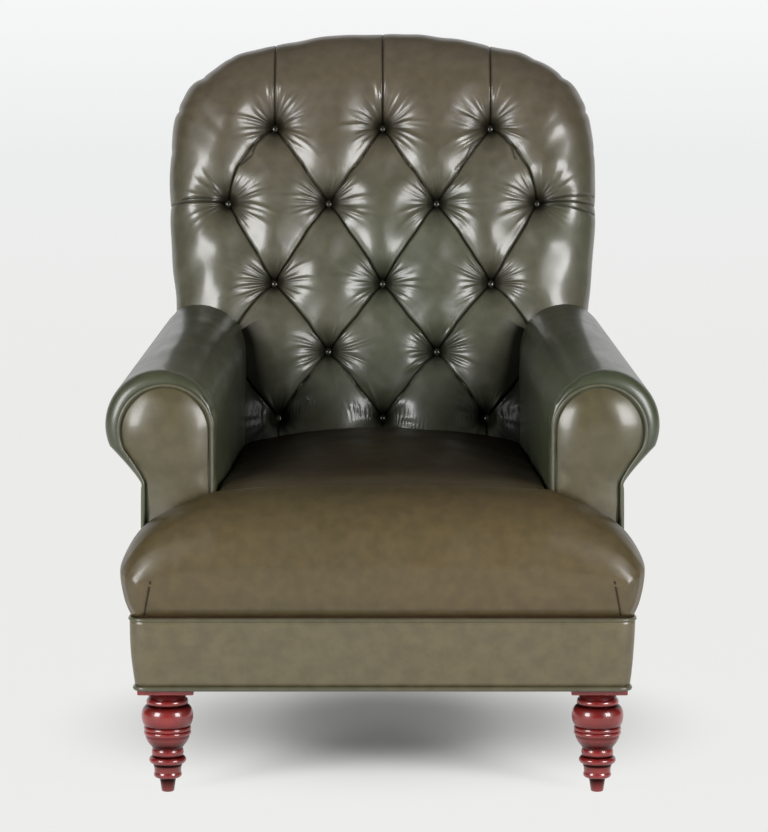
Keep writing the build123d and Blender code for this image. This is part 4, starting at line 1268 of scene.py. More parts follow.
    def build(self) -> Piece:
        """Build the skin of both halves and dress it.

        Returns:
            The piece.
        """
        line = self.lines
        _, r2, _, r4, _ = self.rows
        mirror = np.array([-1.0, 1.0])
        skin = Skin()
        cells = [
            (line["r3_r2_in"] * mirror, line["r3_r2_in"], line["r2_r1_in"] * mirror, line["r2_r1_in"], False),
            (line["r5_r4_in"] * mirror, line["r5_r4_in"], line["r4_r3_in"] * mirror, line["r4_r3_in"], False),
            (line["r3_r2_mid"], line["r3_r2_out"], line["r2_r1_mid"], line["r2_r1_out"], True),
            (line["r4_r3_in"], line["r4_r3_mid"], line["r3_r2_in"], line["r3_r2_mid"], True),
            (line["r5_r4_mid"], line["r5_r4_out"], line["r4_r3_mid"], line["r4_r3_out"], True),
        ]
        for left_low, right_low, left_high, right_high, both in cells:
            plan = self.diamond(left_low, right_low, left_high, right_high)
            flat = np.zeros(plan.shape[:2] + (3,))
            flat[..., 2] = 1
            for side in ((-1, 1) if both else (1,)):
                here = plan * [side, 1]
                skin.add(self.lay(here, np.full(plan.shape[:2], self.crown), flat, np.ones(plan.shape[:2])))
        top, foot = self.place_on_rim(x=self.pitch), self.low_place(self.low)
        side_pleat, hidden = self.place_on_rim(y=r2), self.place_on_rim(y=r4)
        up, out, down = (0, 1), (1, 0), (0, -1)
        ranges = [
            (np.vstack([line["r2_r1_in"][::-1], line["r2_r1_mid"][1:]]), 0.0, top, up, up, 44),
            (line["r2_r1_out"][::-1], top, side_pleat, up, out, 44),
            (
                np.vstack([line["r3_r2_out"][::-1], line["r4_r3_out"][::-1][1:]]),
                side_pleat, hidden, out, out, 44,
            ),
            (line["r5_r4_out"][::-1], hidden, foot, out, down, 24),
            (np.vstack([line["r5_r4_mid"], line["r5_r4_in"][::-1][1:]]), foot, 1.0, down, down, 24),
        ]
        for inner, start, end, start_way, end_way, rows in ranges:
            plan, lift, normal, fade = self.outer_cell(inner, start, end, start_way, end_way, rows)
            for side in (-1, 1):
                skin.add(self.lay(plan * [side, 1], lift, normal * [side, 1, 1], fade))
        mesh = skin.mesh("tufted_back")
        # The map of painted shade: button wells, folds and the shade beside the arm.
        self.map_back_shade(mesh)
        covered = ("inside_back_cover", "back_stuffing")
        piece = place("tufted_back", mesh, self.material, "back_leather", *covered)
        return piece

    def map_back_shade(self, mesh: Mesh) -> None:
        """Write the piece's map of painted shade: U grows from a button or the arm, and V from a fold.

        Args:
            mesh: the back's mesh.
        """
        points = corner_points(mesh)
        sine, cosine = math.sin(self.plane.rake), math.cos(self.plane.rake)
        up = (points[:, 1] - self.plane.origin_y) * sine + (points[:, 2] - self.plane.origin_z) * cosine
        plan = np.stack([points[:, 0], up], axis=1)
        # Painted shade: U is dark in the button wells, further out at the two low corners, and beside the
        # arm; V is dark along the folds.
        u = np.full(len(points), FAR)
        for x, y in self.buttons:
            wide = self.corner_shade_spread if y == self.rows[4] and x else 1.0
            u = np.minimum(u, np.hypot(plan[:, 0] - x, plan[:, 1] - y) / wide)
        u = np.minimum(u / self.painted_shade_reach[0], self.shade_beside_arm(points))
        v = np.full(len(points), FAR)
        for fold in self.folds:
            v = np.minimum(v, fold.measure(plan)[0])
        write_shade_map(mesh, np.clip(u, 0, 1), np.clip(v / self.painted_shade_reach[1], 0, 1))

    def shade_beside_arm(self, points: Array) -> Array:
        """Painted shade beside the arm: the distance to its outline over a reach that widens downwards.

        It counts on the front of the back alone, inside the arm and over its roll.

        Args:
            points: points of the room.

        Returns:
            How unshaded the leather is, 1 or more where the arm leaves no painted shade.
        """
        x, z = np.abs(points[:, 0]), points[:, 2]
        centre_x, centre_z, radius = self.arm_end
        away = np.where(z > centre_z, np.hypot(x - centre_x, z - centre_z) - radius, centre_x - radius - x)
        reach = self.shadow_reach[0] + self.shadow_reach[1] * ease((centre_z + 0.03 - z) / 0.13)
        shade = 1.15 * np.clip(away, 0, None) / reach - 0.10
        behind = points[:, 1] - self.frame.front > 0.600
        return np.where(behind | ((x > centre_x) & (z < centre_z)), FAR, shade)

    def build_buttons(self, material: Material) -> Piece:
        """Covered buttons: domes whose height falls as the root of one less radius squared.

        Args:
            material: their leather.

        Returns:
            The piece.
        """
        skin = Skin()
        share = np.sin(np.linspace(0, np.pi / 2, 9))[:, None]
        angle = np.linspace(0, 2 * np.pi, 28, endpoint=False)[None]
        for x, y in self.buttons:
            radius = self.button_radius * share
            lift = self.crown - self.button_sink + self.button_rise * np.sqrt(1 - (share * 0.999) ** 2)
            plan = np.stack([x + radius * np.cos(angle), y + radius * np.sin(angle)], axis=-1)
            top = self.plane.world(plan, np.broadcast_to(lift, plan.shape[:2]))
            skirt = self.plane.world(plan[-1:], np.full((1, plan.shape[1]), self.crown - self.button_foot))
            skin.add(np.concatenate([top, skirt]), around=True)
        return place("buttons", skin.mesh("buttons"), material, "button_leather", "back_buttons")


@dataclass
class SprungSeat:
    """Seat: tight domed leather in a T, with a rolled front and an ear before each arm.

    Attributes:
        ear_back: depth at which the ears end and the part between the arms begins.
        belly: x and z of the fullest point of the ears.
        base: half width at the timber.
        ear: x and z of the ears' shoulder.
        inner: x and z where the crown of the ears begins.
        corner: how far the front corners are drawn in.
        wall_x: half width between the arms, at the two depths of wall_depth.
        wall_slope: how much nearer the inside covers come to each other per metre.
        tuck_in: how far the ears' ends turn in, over a tuck_depth.
        back_gap: how far before the button plane the seat ends.
        side_line: depth and height of the middle of the top.
        low_shares: depth and share of the fall from the belly to the timber.
        wide_shares: depth and share of the full width.
    """

    frame: SeatFrame
    material: Material
    ear_back: float = 0.057
    belly: tuple = (0.347, 0.290)
    base: float = 0.3325
    ear: tuple = (0.320, 0.354)
    inner: tuple = (0.227, 0.403)
    front_crown: float = 0.411
    corner: float = 0.030
    side_rise: float = 0.006
    arch_power: float = 2.2
    seam: float = 0.0010
    wall_x: tuple = (0.2215, 0.201)
    wall_depth: tuple = (0.074, 0.640)
    wall_slope: float = 0.036
    soft_edge: float = 0.016
    foot_gap: float = 0.0005
    tuck_in: float = 0.006
    tuck_depth: float = 0.008
    back_gap: float = 0.019
    unevenness: float = 0.0011
    side_line: tuple = (
        (-0.0180, 0.294), (-0.0174, 0.315), (-0.0130, 0.340), (-0.0050, 0.361), (0.010, 0.382),
        (0.030, 0.398), (0.057, 0.411), (0.100, 0.4235), (0.180, 0.435), (0.310, 0.441), (0.466, 0.437),
        (0.566, 0.424),
    )
    low_shares: tuple = (
        (-0.018, 0.06), (-0.0174, 0.34), (-0.013, 0.68), (-0.005, 0.88), (0.010, 1.0), (0.6, 1.0),
    )
    wide_shares: tuple = (
        (-0.018, 0.0), (-0.0174, 0.2), (-0.013, 0.42), (-0.004, 0.70), (0.012, 0.92), (0.03, 1.0), (0.6, 1.0),
    )

    def __post_init__(self) -> None:
        """Smooth centre line of the top, from the front edge to the back."""
        self.centre = spline(np.array(self.side_line), 900)

    def ear_section(self, top: float, low: float, wide: float, inset: float) -> Section:
        """Section through the ears: a curve through the belly, the ear and the swell, and an arch.

        Args:
            top: share of the full height over the belly.
            low: share of the fall from the belly to the timber.
            wide: share of the full width.
            inset: how much further the sides are drawn in.

        Returns:
            The right side, the top and the base.
        """
        draw = self.corner * (1 - wide) + inset
        middle = self.belly[1]

        def raised(height: float) -> float:
            """Height over the belly at this section's share of it."""
            return middle + (height - middle) * top

        low_z = middle + (self.frame.high + self.foot_gap - middle) * low
        base_x, belly_x = self.base - draw, self.belly[0] - draw
        side = spline(np.array([
            [base_x, low_z],
            [base_x + (belly_x - base_x) * 0.62, middle + (low_z - middle) * 0.56],
            [belly_x, middle + 0.1 * (raised(self.ear[1]) - middle)],
            [belly_x - 0.004, raised(0.318)],
            [self.ear[0] - draw, raised(self.ear[1])],
            [0.285 - draw, raised(0.3795)],
            [self.inner[0] - draw / 2, raised(self.inner[1])],
        ]), 46)
        across = np.linspace(1, -1, 61)
        arch = 1 - np.abs(across) ** self.arch_power
        half, inner_z = self.inner[0] - draw / 2, raised(self.inner[1])
        top_line = np.stack([across * half, inner_z + (raised(self.front_crown) - inner_z) * arch], axis=1)
        base_line = np.stack([np.linspace(-1, 1, 61) * base_x, np.full(61, low_z)], axis=1)
        return side, top_line, base_line

    def body_section(self, depth: float, crown: float) -> Section:
        """Section between the arms: upright walls with a soft edge under a crowned top.

        Args:
            depth: depth of the section.
            crown: height of its middle.

        Returns:
            The right side, the top and the base.
        """
        share = (depth - self.wall_depth[0]) / (self.wall_depth[1] - self.wall_depth[0])
        x = (self.wall_x[0] + (self.wall_x[1] - self.wall_x[0]) * share) - TACKED
        edge = self.soft_edge
        turn = np.linspace(0, np.pi / 2, 12)[1:]
        blend = float(ease((depth - self.ear_back) / 0.07))
        rear_top = self.inner[1] + self.side_rise
        across = np.linspace(1, -1, 61)

        def ahead_top(along_x: Array) -> Array:
            """Height of the ears' arch at an x."""
            arch = 1 - np.abs(along_x / self.inner[0]) ** self.arch_power
            return self.inner[1] + (crown - self.inner[1]) * arch

        top_z = float(ahead_top(x - edge)) * (1 - blend) + rear_top * blend
        foot = self.frame.high + self.foot_gap
        wall = np.stack([np.full(34, x), np.linspace(foot, top_z - edge, 34)], axis=1)
        bend = np.stack([x - edge * (1 - np.cos(turn)), top_z - edge * (1 - np.sin(turn))], axis=1)
        side = resample(np.vstack([wall, bend]), np.linspace(0, 1, 46) ** 0.7)
        rear = rear_top + (crown - rear_top) * (1 - np.abs(across) ** self.arch_power)
        heights = ahead_top(across * (x - edge)) * (1 - blend) + rear * blend
        top_line = np.stack([across * (x - edge), heights], axis=1)
        base_line = np.stack([np.linspace(-1, 1, 61) * x, np.full(61, foot)], axis=1)
        return side, top_line, base_line

    def loop(self, parts: Section, depth: float) -> Array:
        """Closed loop of a section.

        Args:
            parts: its right side, top and base.
            depth: where it stands.

        Returns:
            Points of the room.
        """
        side, top_line, base_line = parts
        left = side[::-1] * [-1, 1]
        flat = np.vstack([side[:-1], top_line[:-1], left[:-1], base_line[:-1]])
        return np.stack([flat[:, 0], np.full(len(flat), self.frame.front + depth), flat[:, 1]], axis=1)

    def build(self) -> Piece:
        """Build the rows from front to back and dress the seat.

        Returns:
            The piece.
        """
        low_table, wide_table = np.array(self.low_shares), np.array(self.wide_shares)
        middle = self.belly[1]
        split = np.argmax(self.centre[:, 0] >= self.ear_back)
        rows = []
        for depth, crown in resample(self.centre[: split + 1], np.linspace(0, 1, 44)):
            top = (crown - middle) / (self.front_crown - middle)
            low = np.interp(depth, low_table[:, 0], low_table[:, 1])
            wide = np.interp(depth, wide_table[:, 0], wide_table[:, 1])
            inset = self.tuck_in * max(0.0, 1 - (self.ear_back - depth) / self.tuck_depth) ** 3
            rows.append(self.loop(self.ear_section(top, low, wide, inset), depth))
        for depth, crown in resample(self.centre[split:], np.linspace(0, 1, 46)):
            rows.append(self.loop(self.body_section(depth + 0.0008, crown), depth + 0.0008))
        grid = np.array(rows)
        plane = self.frame.button_plane()
        lean = math.tan(plane.rake)
        limit = plane.origin_y - self.back_gap + (grid[..., 2] - plane.origin_z) * lean
        grid[..., 1] = np.minimum(grid[..., 1], limit)
        grid[..., 2] += self.unevenness * ripple(grid, 0.11, 8) * (grid[..., 2] > 0.26)
        skin = Skin()
        skin.add(grid, around=True)
        surface = BVHTree.FromPolygons(np.vstack(skin.points).tolist(), np.vstack(skin.quads).tolist())
        seams = [self.dart(surface, side) for side in (-1, 1)]
        for seam in seams:
            skin.join(tube(seam, self.seam))
        mesh = skin.mesh("seat")
        points = corner_points(mesh)
        to_seams = [np.linalg.norm(points[:, None] - seam[None], axis=2).min(axis=1) for seam in seams]
        near = np.min(to_seams, axis=0)
        # Painted shade: U darkens the seat beside the arms; V draws the dart seam cords dark.
        write_shade_map(mesh, self.shade_beside_arm(points), (np.abs(near - self.seam) > 0.0001).astype(float))
        piece = place("seat", mesh, self.material, "seat_leather", "seat_cover", "seat_stuffing")
        return piece

    def shade_beside_arm(self, points: Array) -> Array:
        """Painted shade beside the arms: the distance to the inside cover over a reach that widens backwards.

        Args:
            points: points of the room.

        Returns:
            How unshaded the leather is, from 0 to 1.
        """
        depth = points[:, 1] - self.frame.front
        away = self.wall_x[0] - self.wall_slope * (depth - self.wall_depth[0]) - np.abs(points[:, 0])
        reach = 0.012 + 0.135 * ease((depth - 0.08) / 0.36)
        shade = np.clip(0.08 + 1.05 * away / reach, 0, 1)
        return np.where((depth < 0.07) | (points[:, 2] < 0.36), 1.0, shade)

    def dart(self, surface: BVHTree, side: int) -> Array:
        """Path of the sewn dart down a front corner, on the first face met from the front.

        Args:
            surface: the seat's faces.
            side: 1 for the right corner, -1 for the left.

        Returns:
            Points of the path.
        """
        z = np.linspace(self.belly[1] + 0.004, self.frame.high + 0.005, 60)
        x = (0.3045 + (self.belly[1] - z) * 0.2) * side
        start = self.frame.front - 0.1
        found = [surface.ray_cast(Vector((a, start, b)), Vector((0, 1, 0)))[0] for a, b in zip(x, z)]
        depth = np.array([spot.y if spot else self.frame.front for spot in found])
        return np.stack([x, depth - 0.0005, z], axis=1)


@dataclass
class RolledArm:
    """One arm: the roll and inside cover, the facing and its welt, and the outside panel.

    Attributes:
        front: depth of the facing's edge, and back is that of the roll's rear.
        radius: radius of the roll at its front and rear, as centre_x and centre_z are its centre.
        panel_x: x of the outside at the front.
        edge: depth of the roll's rounded front edge.
        bulge: how far the facing swells, over a soft_edge.
        leave_angle: degrees under the level at which the outline leaves the roll.
        neck_drop: how far the seam lies under the roll's centre, in radii.
        neck_bend: x and z from the seam to the point that bends the outline.
        pucker: height of the puckers at the front edge.
    """

    side: Side
    frame: SeatFrame
    leather: Material
    facing_leather: Material
    panel_leather: Material
    welt_leather: Material
    front: float = 0.074
    back: float = 0.640
    radius: tuple = (0.075, 0.066)
    centre_x: tuple = (0.2965, 0.267)
    centre_z: tuple = (0.485, 0.541)
    panel_x: float = 0.322
    edge: float = 0.020
    facing_radius: float = 0.0637
    facing_centre: tuple = (0.289, 0.480)
    facing_panel: float = 0.320
    facing_low: float = 0.300
    bulge: float = 0.016
    soft_edge: float = 0.050
    leave_angle: float = 22.0
    neck_drop: float = 1.12
    neck_bend: tuple = (0.0035, 0.012)
    rear_edge: float = 0.012
    pucker: float = 0.0011
    welt: float = 0.0023

    def keyhole(self, centre_x: float, centre_z: float, radius: float, panel: float, low: float) -> Array:
        """Keyhole from the inner foot up, over the roll, under it along a parabola to the seam and down.

        Args:
            centre_x: x of the roll's centre.
            centre_z: z of it.
            radius: radius of the roll.
            panel: x of the outer side.
            low: height of the foot.

        Returns:
            (x, z) points.
        """
        leave = -math.radians(self.leave_angle)
        inner = np.stack([np.full(33, centre_x - radius), np.linspace(low, centre_z, 33)], axis=1)
        angle = np.linspace(math.pi, leave, 65)[1:]
        roll = np.stack([centre_x + radius * np.cos(angle), centre_z + radius * np.sin(angle)], axis=1)
        foot = np.array([panel, centre_z - self.neck_drop * radius])
        share = np.linspace(0, 1, 17)[1:, None]
        bend = foot + self.neck_bend
        taper = roll[-1] * (1 - share) ** 2 + 2 * bend * share * (1 - share) + foot * share**2
        outer = np.stack([np.full(24, panel), np.linspace(foot[1], low, 25)[1:]], axis=1)
        base = np.stack([np.linspace(panel, centre_x - radius, 8)[1:-1], np.full(6, low)], axis=1)
        return np.vstack([inner, roll, taper, outer, base])

    def full(self, depth: float) -> list[float]:
        """Sizes of the arm at a depth, in straight lines from front to back.

        Args:
            depth: the depth.

        Returns:
            The x and z of its centre, its radius and the x of its panel.
        """
        share = (depth - self.front) / (self.back - self.front)
        values = [a + (b - a) * share for a, b in (self.centre_x, self.centre_z, self.radius)]
        return values + [self.panel_x - self.frame.toe * (depth - self.front) - 0.0015]

    def turned(self, flat: Array, depth: Array) -> Array:
        """Points of the room from a section's points and depths, mirrored for the left arm."""
        x = flat[..., 0] * self.side.value
        return np.stack([x, np.broadcast_to(self.frame.front + depth, x.shape), flat[..., 1]], axis=-1)

    def build_roll(self) -> Piece:
        """Roll and inside cover: keyholes swept back, rounded at the front edge by a quarter ellipse.

        Returns:
            The piece.
        """
        start = [*self.facing_centre, self.facing_radius, self.facing_panel]
        low = self.frame.high + TACKED
        rows, depths = [], []
        for share in 1 - np.cos(np.linspace(0, np.pi / 2, 14)):
            out = math.sqrt(max(0.0, 1 - (1 - share) ** 2))
            depth = self.front + self.edge * share
            values = [a + (b - a) * out for a, b in zip(start, self.full(self.front + self.edge))]
            rows.append(self.keyhole(*values, low))
            depths.append(depth)
        for depth in np.linspace(self.front + self.edge, self.back - self.rear_edge, 60)[1:]:
            rows.append(self.keyhole(*self.full(depth), low))
            depths.append(depth)
        for turn in np.linspace(0, np.pi / 2, 7)[1:]:
            values = self.full(self.back)
            values[2] -= self.rear_edge * (1 - math.cos(turn))
            values[3] -= self.rear_edge * (1 - math.cos(turn)) * 0.6
            rows.append(self.keyhole(*values, low))
            depths.append(self.back - self.rear_edge * (1 - math.sin(turn)))
        flat, depth = np.array(rows), np.array(depths)[:, None]
        grid = self.turned(flat, depth)
        tangent = np.roll(flat, -1, axis=1) - np.roll(flat, 1, axis=1)
        tangent /= np.maximum(np.linalg.norm(tangent, axis=2), 1e-9)[..., None]
        level = np.zeros(tangent.shape[:2])
        outward = np.stack([-tangent[..., 1] * self.side.value, level, tangent[..., 0]], axis=2)
        back_from_edge = depth - self.front
        around = np.arange(flat.shape[1])[None] * 0.0032
        seed = 20 + self.side.value
        puckers = ripple(np.stack([around + 0 * depth, depth * 0.25 + 0 * around], axis=2), 0.012, seed)
        swell = self.pucker * puckers * np.exp(-back_from_edge / 0.016) * ease(back_from_edge / 0.004)
        swell = swell + 0.0012 * ripple(grid, 0.12, seed + 5) * ease(back_from_edge / 0.03)
        keep = (flat[..., 1] > low + 0.01) & (flat[..., 0] < self.facing_panel - 0.012)
        over_rail = (flat[..., 0] > self.centre_x[1] + 0.02) & (flat[..., 1] < self.centre_z[0])
        swell = np.where(over_rail, np.maximum(swell, 0.0004), swell)
        grid = grid + outward * (swell * keep)[..., None]
        skin = Skin()
        skin.add(grid, around=True)
        name = self.side.prefix + "arm_roll"
        nodes = (self.side.prefix + "inside_arm_cover", self.side.prefix + "arm_stuffing")
        piece = place(name, skin.mesh(name), self.leather, "arm_leather", *nodes)
        return piece

    def build_facing(self) -> Piece:
        """Facing: rows across the keyhole, crowned by how far each point lies from its edge.

        The distance is the larger of radius less the distance to the roll's centre, and the way to
        the nearer side of the neck. The crown is one less a power of what is left of the soft edge.

        Returns:
            The piece.
        """
        inset = 0.0034
        centre_x, centre_z = self.facing_centre
        radius, panel = self.facing_radius - inset, self.facing_panel - inset
        low_rows = np.linspace(self.facing_low + inset, centre_z, 60)
        turn = np.pi / 2 * np.sin(np.linspace(0, np.pi / 2, 44))[1:]
        heights = np.concatenate([low_rows, centre_z + radius * np.sin(turn)])
        reach = np.sqrt(np.maximum(radius**2 - (heights - centre_z) ** 2, 1e-9))
        left = centre_x - np.where(heights < centre_z, radius, reach)
        # The outline's last point on the roll and the sixteen down to the seam.
        taper = self.keyhole(centre_x, centre_z, radius, panel, self.facing_low + inset)[96:113]
        low_right = np.interp(heights, taper[::-1, 1], taper[::-1, 0])
        right = np.where(heights < taper[0, 1], low_right, centre_x + reach)
        across = crowded(56, 0.75)[None]
        x = left[:, None] * (1 - across) + right[:, None] * across
        z = np.broadcast_to(heights[:, None], x.shape)
        roll = radius - np.hypot(x - centre_x, z - centre_z)
        neck = np.where(z < centre_z, np.minimum(x - left[:, None], 0.9 * (right[:, None] - x)), -1.0)
        edge_way = np.maximum(np.maximum(roll, neck), 0.0)
        edge_way = np.minimum(edge_way, z - heights[0])
        left_over = np.clip(1 - edge_way / self.soft_edge, 0, 1)
        fullness = 0.55 + 0.45 * ease((z - 0.395) / 0.045)
        dome = self.bulge * fullness * (1 - left_over**2.3) - 0.0015
        dip = 0.0022 * bell(z - 0.425, 0.016) * ease(edge_way / 0.012)
        grid = self.turned(np.stack([x, z], axis=2), self.front - dome + dip)
        grid[..., 1] += 0.0006 * ripple(grid, 0.05, 31 + self.side.value)
        skin = Skin()
        skin.add(grid)
        name = self.side.prefix + "facing"
        nodes = (self.side.prefix + "arm_facing", self.side.prefix + "arm_facing_pad")
        piece = place(name, skin.mesh(name, weld=1e-4), self.facing_leather, "facing_leather", *nodes)
        return piece

    def build_welts(self) -> Piece:
        """Welt round the facing.

        Returns:
            The piece.
        """
        inset = 0.0014
        radius, panel = self.facing_radius - inset, self.facing_panel - inset
        line = self.keyhole(*self.facing_centre, radius, panel, self.facing_low)
        line = resample(np.vstack([line, line[:1]]), np.linspace(0, 1, 201)[:-1])
        path = self.turned(line, np.array(self.front - 0.0028))
        name = self.side.prefix + "facing_welt"
        mesh = tube(path, self.welt, closed=True).mesh(name)
        return place(name, mesh, self.welt_leather, "welt_leather", self.side.prefix + "arm_facing_welt")

    def build_panel(self) -> Piece:
        """Outside panel: a slightly full sheet up to the seam under the roll, with a welt at its front.

        Returns:
            The piece.
        """
        depth = np.linspace(self.front + self.edge, self.back - 0.001, 60)
        top = []
        for d in depth:
            _, z, radius, _ = self.full(d)
            top.append(z - self.neck_drop * radius - 0.0004)
        share = np.linspace(0, 1, 24)[:, None]
        z = (self.frame.high + TACKED) * (1 - share) + np.array(top)[None] * share
        x = self.panel_x - self.frame.toe * (depth[None] - self.front) + 0 * z
        fullness = np.sin(np.pi * share) ** 0.5 * np.sin(np.pi * np.linspace(0.02, 0.98, 60)[None]) ** 0.3
        face = self.turned(np.stack([x + 0.0022 * fullness, z], axis=2), depth[None])
        rear = self.turned(np.stack([x - 0.002, z], axis=2), depth[None])
        skin = Skin()
        skin.add(face)
        skin.add(rear)
        for border in BORDERS:
            skin.add(np.stack([face[border], rear[border]]))
        path = np.vstack([face[:, 0], face[-1, 1:]])
        skin.join(tube(resample(path, np.linspace(0, 1, 120)), 0.0020))
        name = self.side.prefix + "outside_arm"
        node = self.side.prefix + "outside_arm_panel"
        return place(name, skin.mesh(name), self.panel_leather, "outside_leather", node)


@dataclass
class BorderBand:
    """Leather band round the seat timber with a welt at each edge.

    Attributes:
        growth: how far outside the timber the band's foot stands.
        flare: how much further its top stands.
        full: how far its middle swells.
        rounds: radii of the timber's front and rear corners.
    """

    frame: SeatFrame
    leather: Material
    welt_leather: Material
    growth: float = 0.0023
    flare: float = 0.007
    full: float = 0.0016
    welt: float = 0.0032
    rounds: tuple = (0.012, 0.006)

    def ring(self, growth: float, height: float) -> Array:
        """Level ring round the timber.

        Args:
            growth: how far outside it.
            height: its height.

        Returns:
            Points of the ring, which isn't closed.
        """
        plan = self.frame.plan(growth, self.rounds[0] + growth, self.rounds[1] + growth)
        plan = resample(np.vstack([plan, plan[:1]]), np.linspace(0, 1, 481))[:-1]
        return np.column_stack([plan, np.full(len(plan), height)])

    def build(self) -> None:
        """Band: plans that grow with height, and a flat inner face. Welts: cords on the same plans."""
        low, high = self.frame.low + self.welt, self.frame.high
        rows = []
        for share in np.linspace(0, 1, 15):
            growth = self.growth + self.flare * share + self.full * math.sin(math.pi * share)
            rows.append((growth, low + (high - low) * share))
        rows += [(0.0004, high), (0.0004, low)]
        rings = [self.ring(growth, z) for growth, z in rows]
        grid = np.array([*rings, rings[0]])
        middle = np.array(self.frame.plan(0, *self.rounds)).mean(axis=0)
        away = grid[..., :2] - middle
        away /= np.linalg.norm(away, axis=2)[..., None]
        wave = 0.0007 * ripple(grid[:15], 0.10, 61) * np.sin(np.pi * np.linspace(0, 1, 15))[:, None]
        grid[:15, :, :2] += away[:15] * wave[..., None]
        grid[-1] = grid[0]
        skin = Skin()
        skin.add(grid, around=True)
        place("border", skin.mesh("border"), self.leather, "border_leather", "border_band")
        edges = (
            ("border_top", self.flare + 0.0012, high, 0.0027),
            ("border_bottom", self.growth, low - self.welt, self.welt),
        )
        for name, growth, z, radius in edges:
            mesh = tube(self.ring(growth, z), radius, closed=True).mesh(name + "_cord")
            place(name + "_cord", mesh, self.welt_leather, "welt_leather", name + "_welt")


@dataclass
class OutsideBack:
    """Leather panel down the outside of the back, and the welt round its edge."""

    back: TuftedBack
    leather: Material
    welt_leather: Material
    welt: float = 0.0030

    def build(self) -> None:
        """Panel: rows across between the two sides of the outline, full in the middle."""
        back, frame = self.back, self.back.frame
        line = back.rim_line[back.rim_line[:, 1] > -0.118]
        y = line[0, 1] - 0.003 - (line[0, 1] - 0.003 - line[-1, 1]) * crowded(90, 0.7)
        half = np.interp(-y, -line[:, 1], line[:, 0]) - 0.002
        half[0] = 0.002
        across = np.linspace(-1, 1, 61)
        plan = np.stack([half[:, None] * across[None], np.broadcast_to(y[:, None], (90, 61))], axis=2)
        lift = frame.outside_lift(plan[..., 1])
        fullness = (1 - across[None] ** 4) * np.sin(np.pi * np.linspace(0.04, 0.98, 90))[:, None] ** 0.6
        outer = back.plane.world(plan, lift - 0.0018 * fullness - 0.0010)
        inner = back.plane.world(plan, lift + 0.002)
        skin = Skin()
        for grid in (outer, inner):
            grid[..., 2] = np.maximum(grid[..., 2], frame.high + TACKED)
            skin.add(grid)
        for border in BORDERS:
            skin.add(np.stack([outer[border], inner[border]]))
        mesh = skin.mesh("outside_back")
        place("outside_back", mesh, self.leather, "outside_leather", "outside_back_panel")
        half_line = line[::6]
        path = np.vstack([half_line[::-1] * [-1, 1], half_line[1:]])
        cord = back.plane.world(path * 0.996, frame.outside_lift(path[:, 1]) + 0.0012)
        cord = cord[cord[:, 2] > frame.high + 0.004]
        mesh = tube(cord, self.welt).mesh("back_cord")
        place("back_cord", mesh, self.welt_leather, "welt_leather", "back_edge_welt")


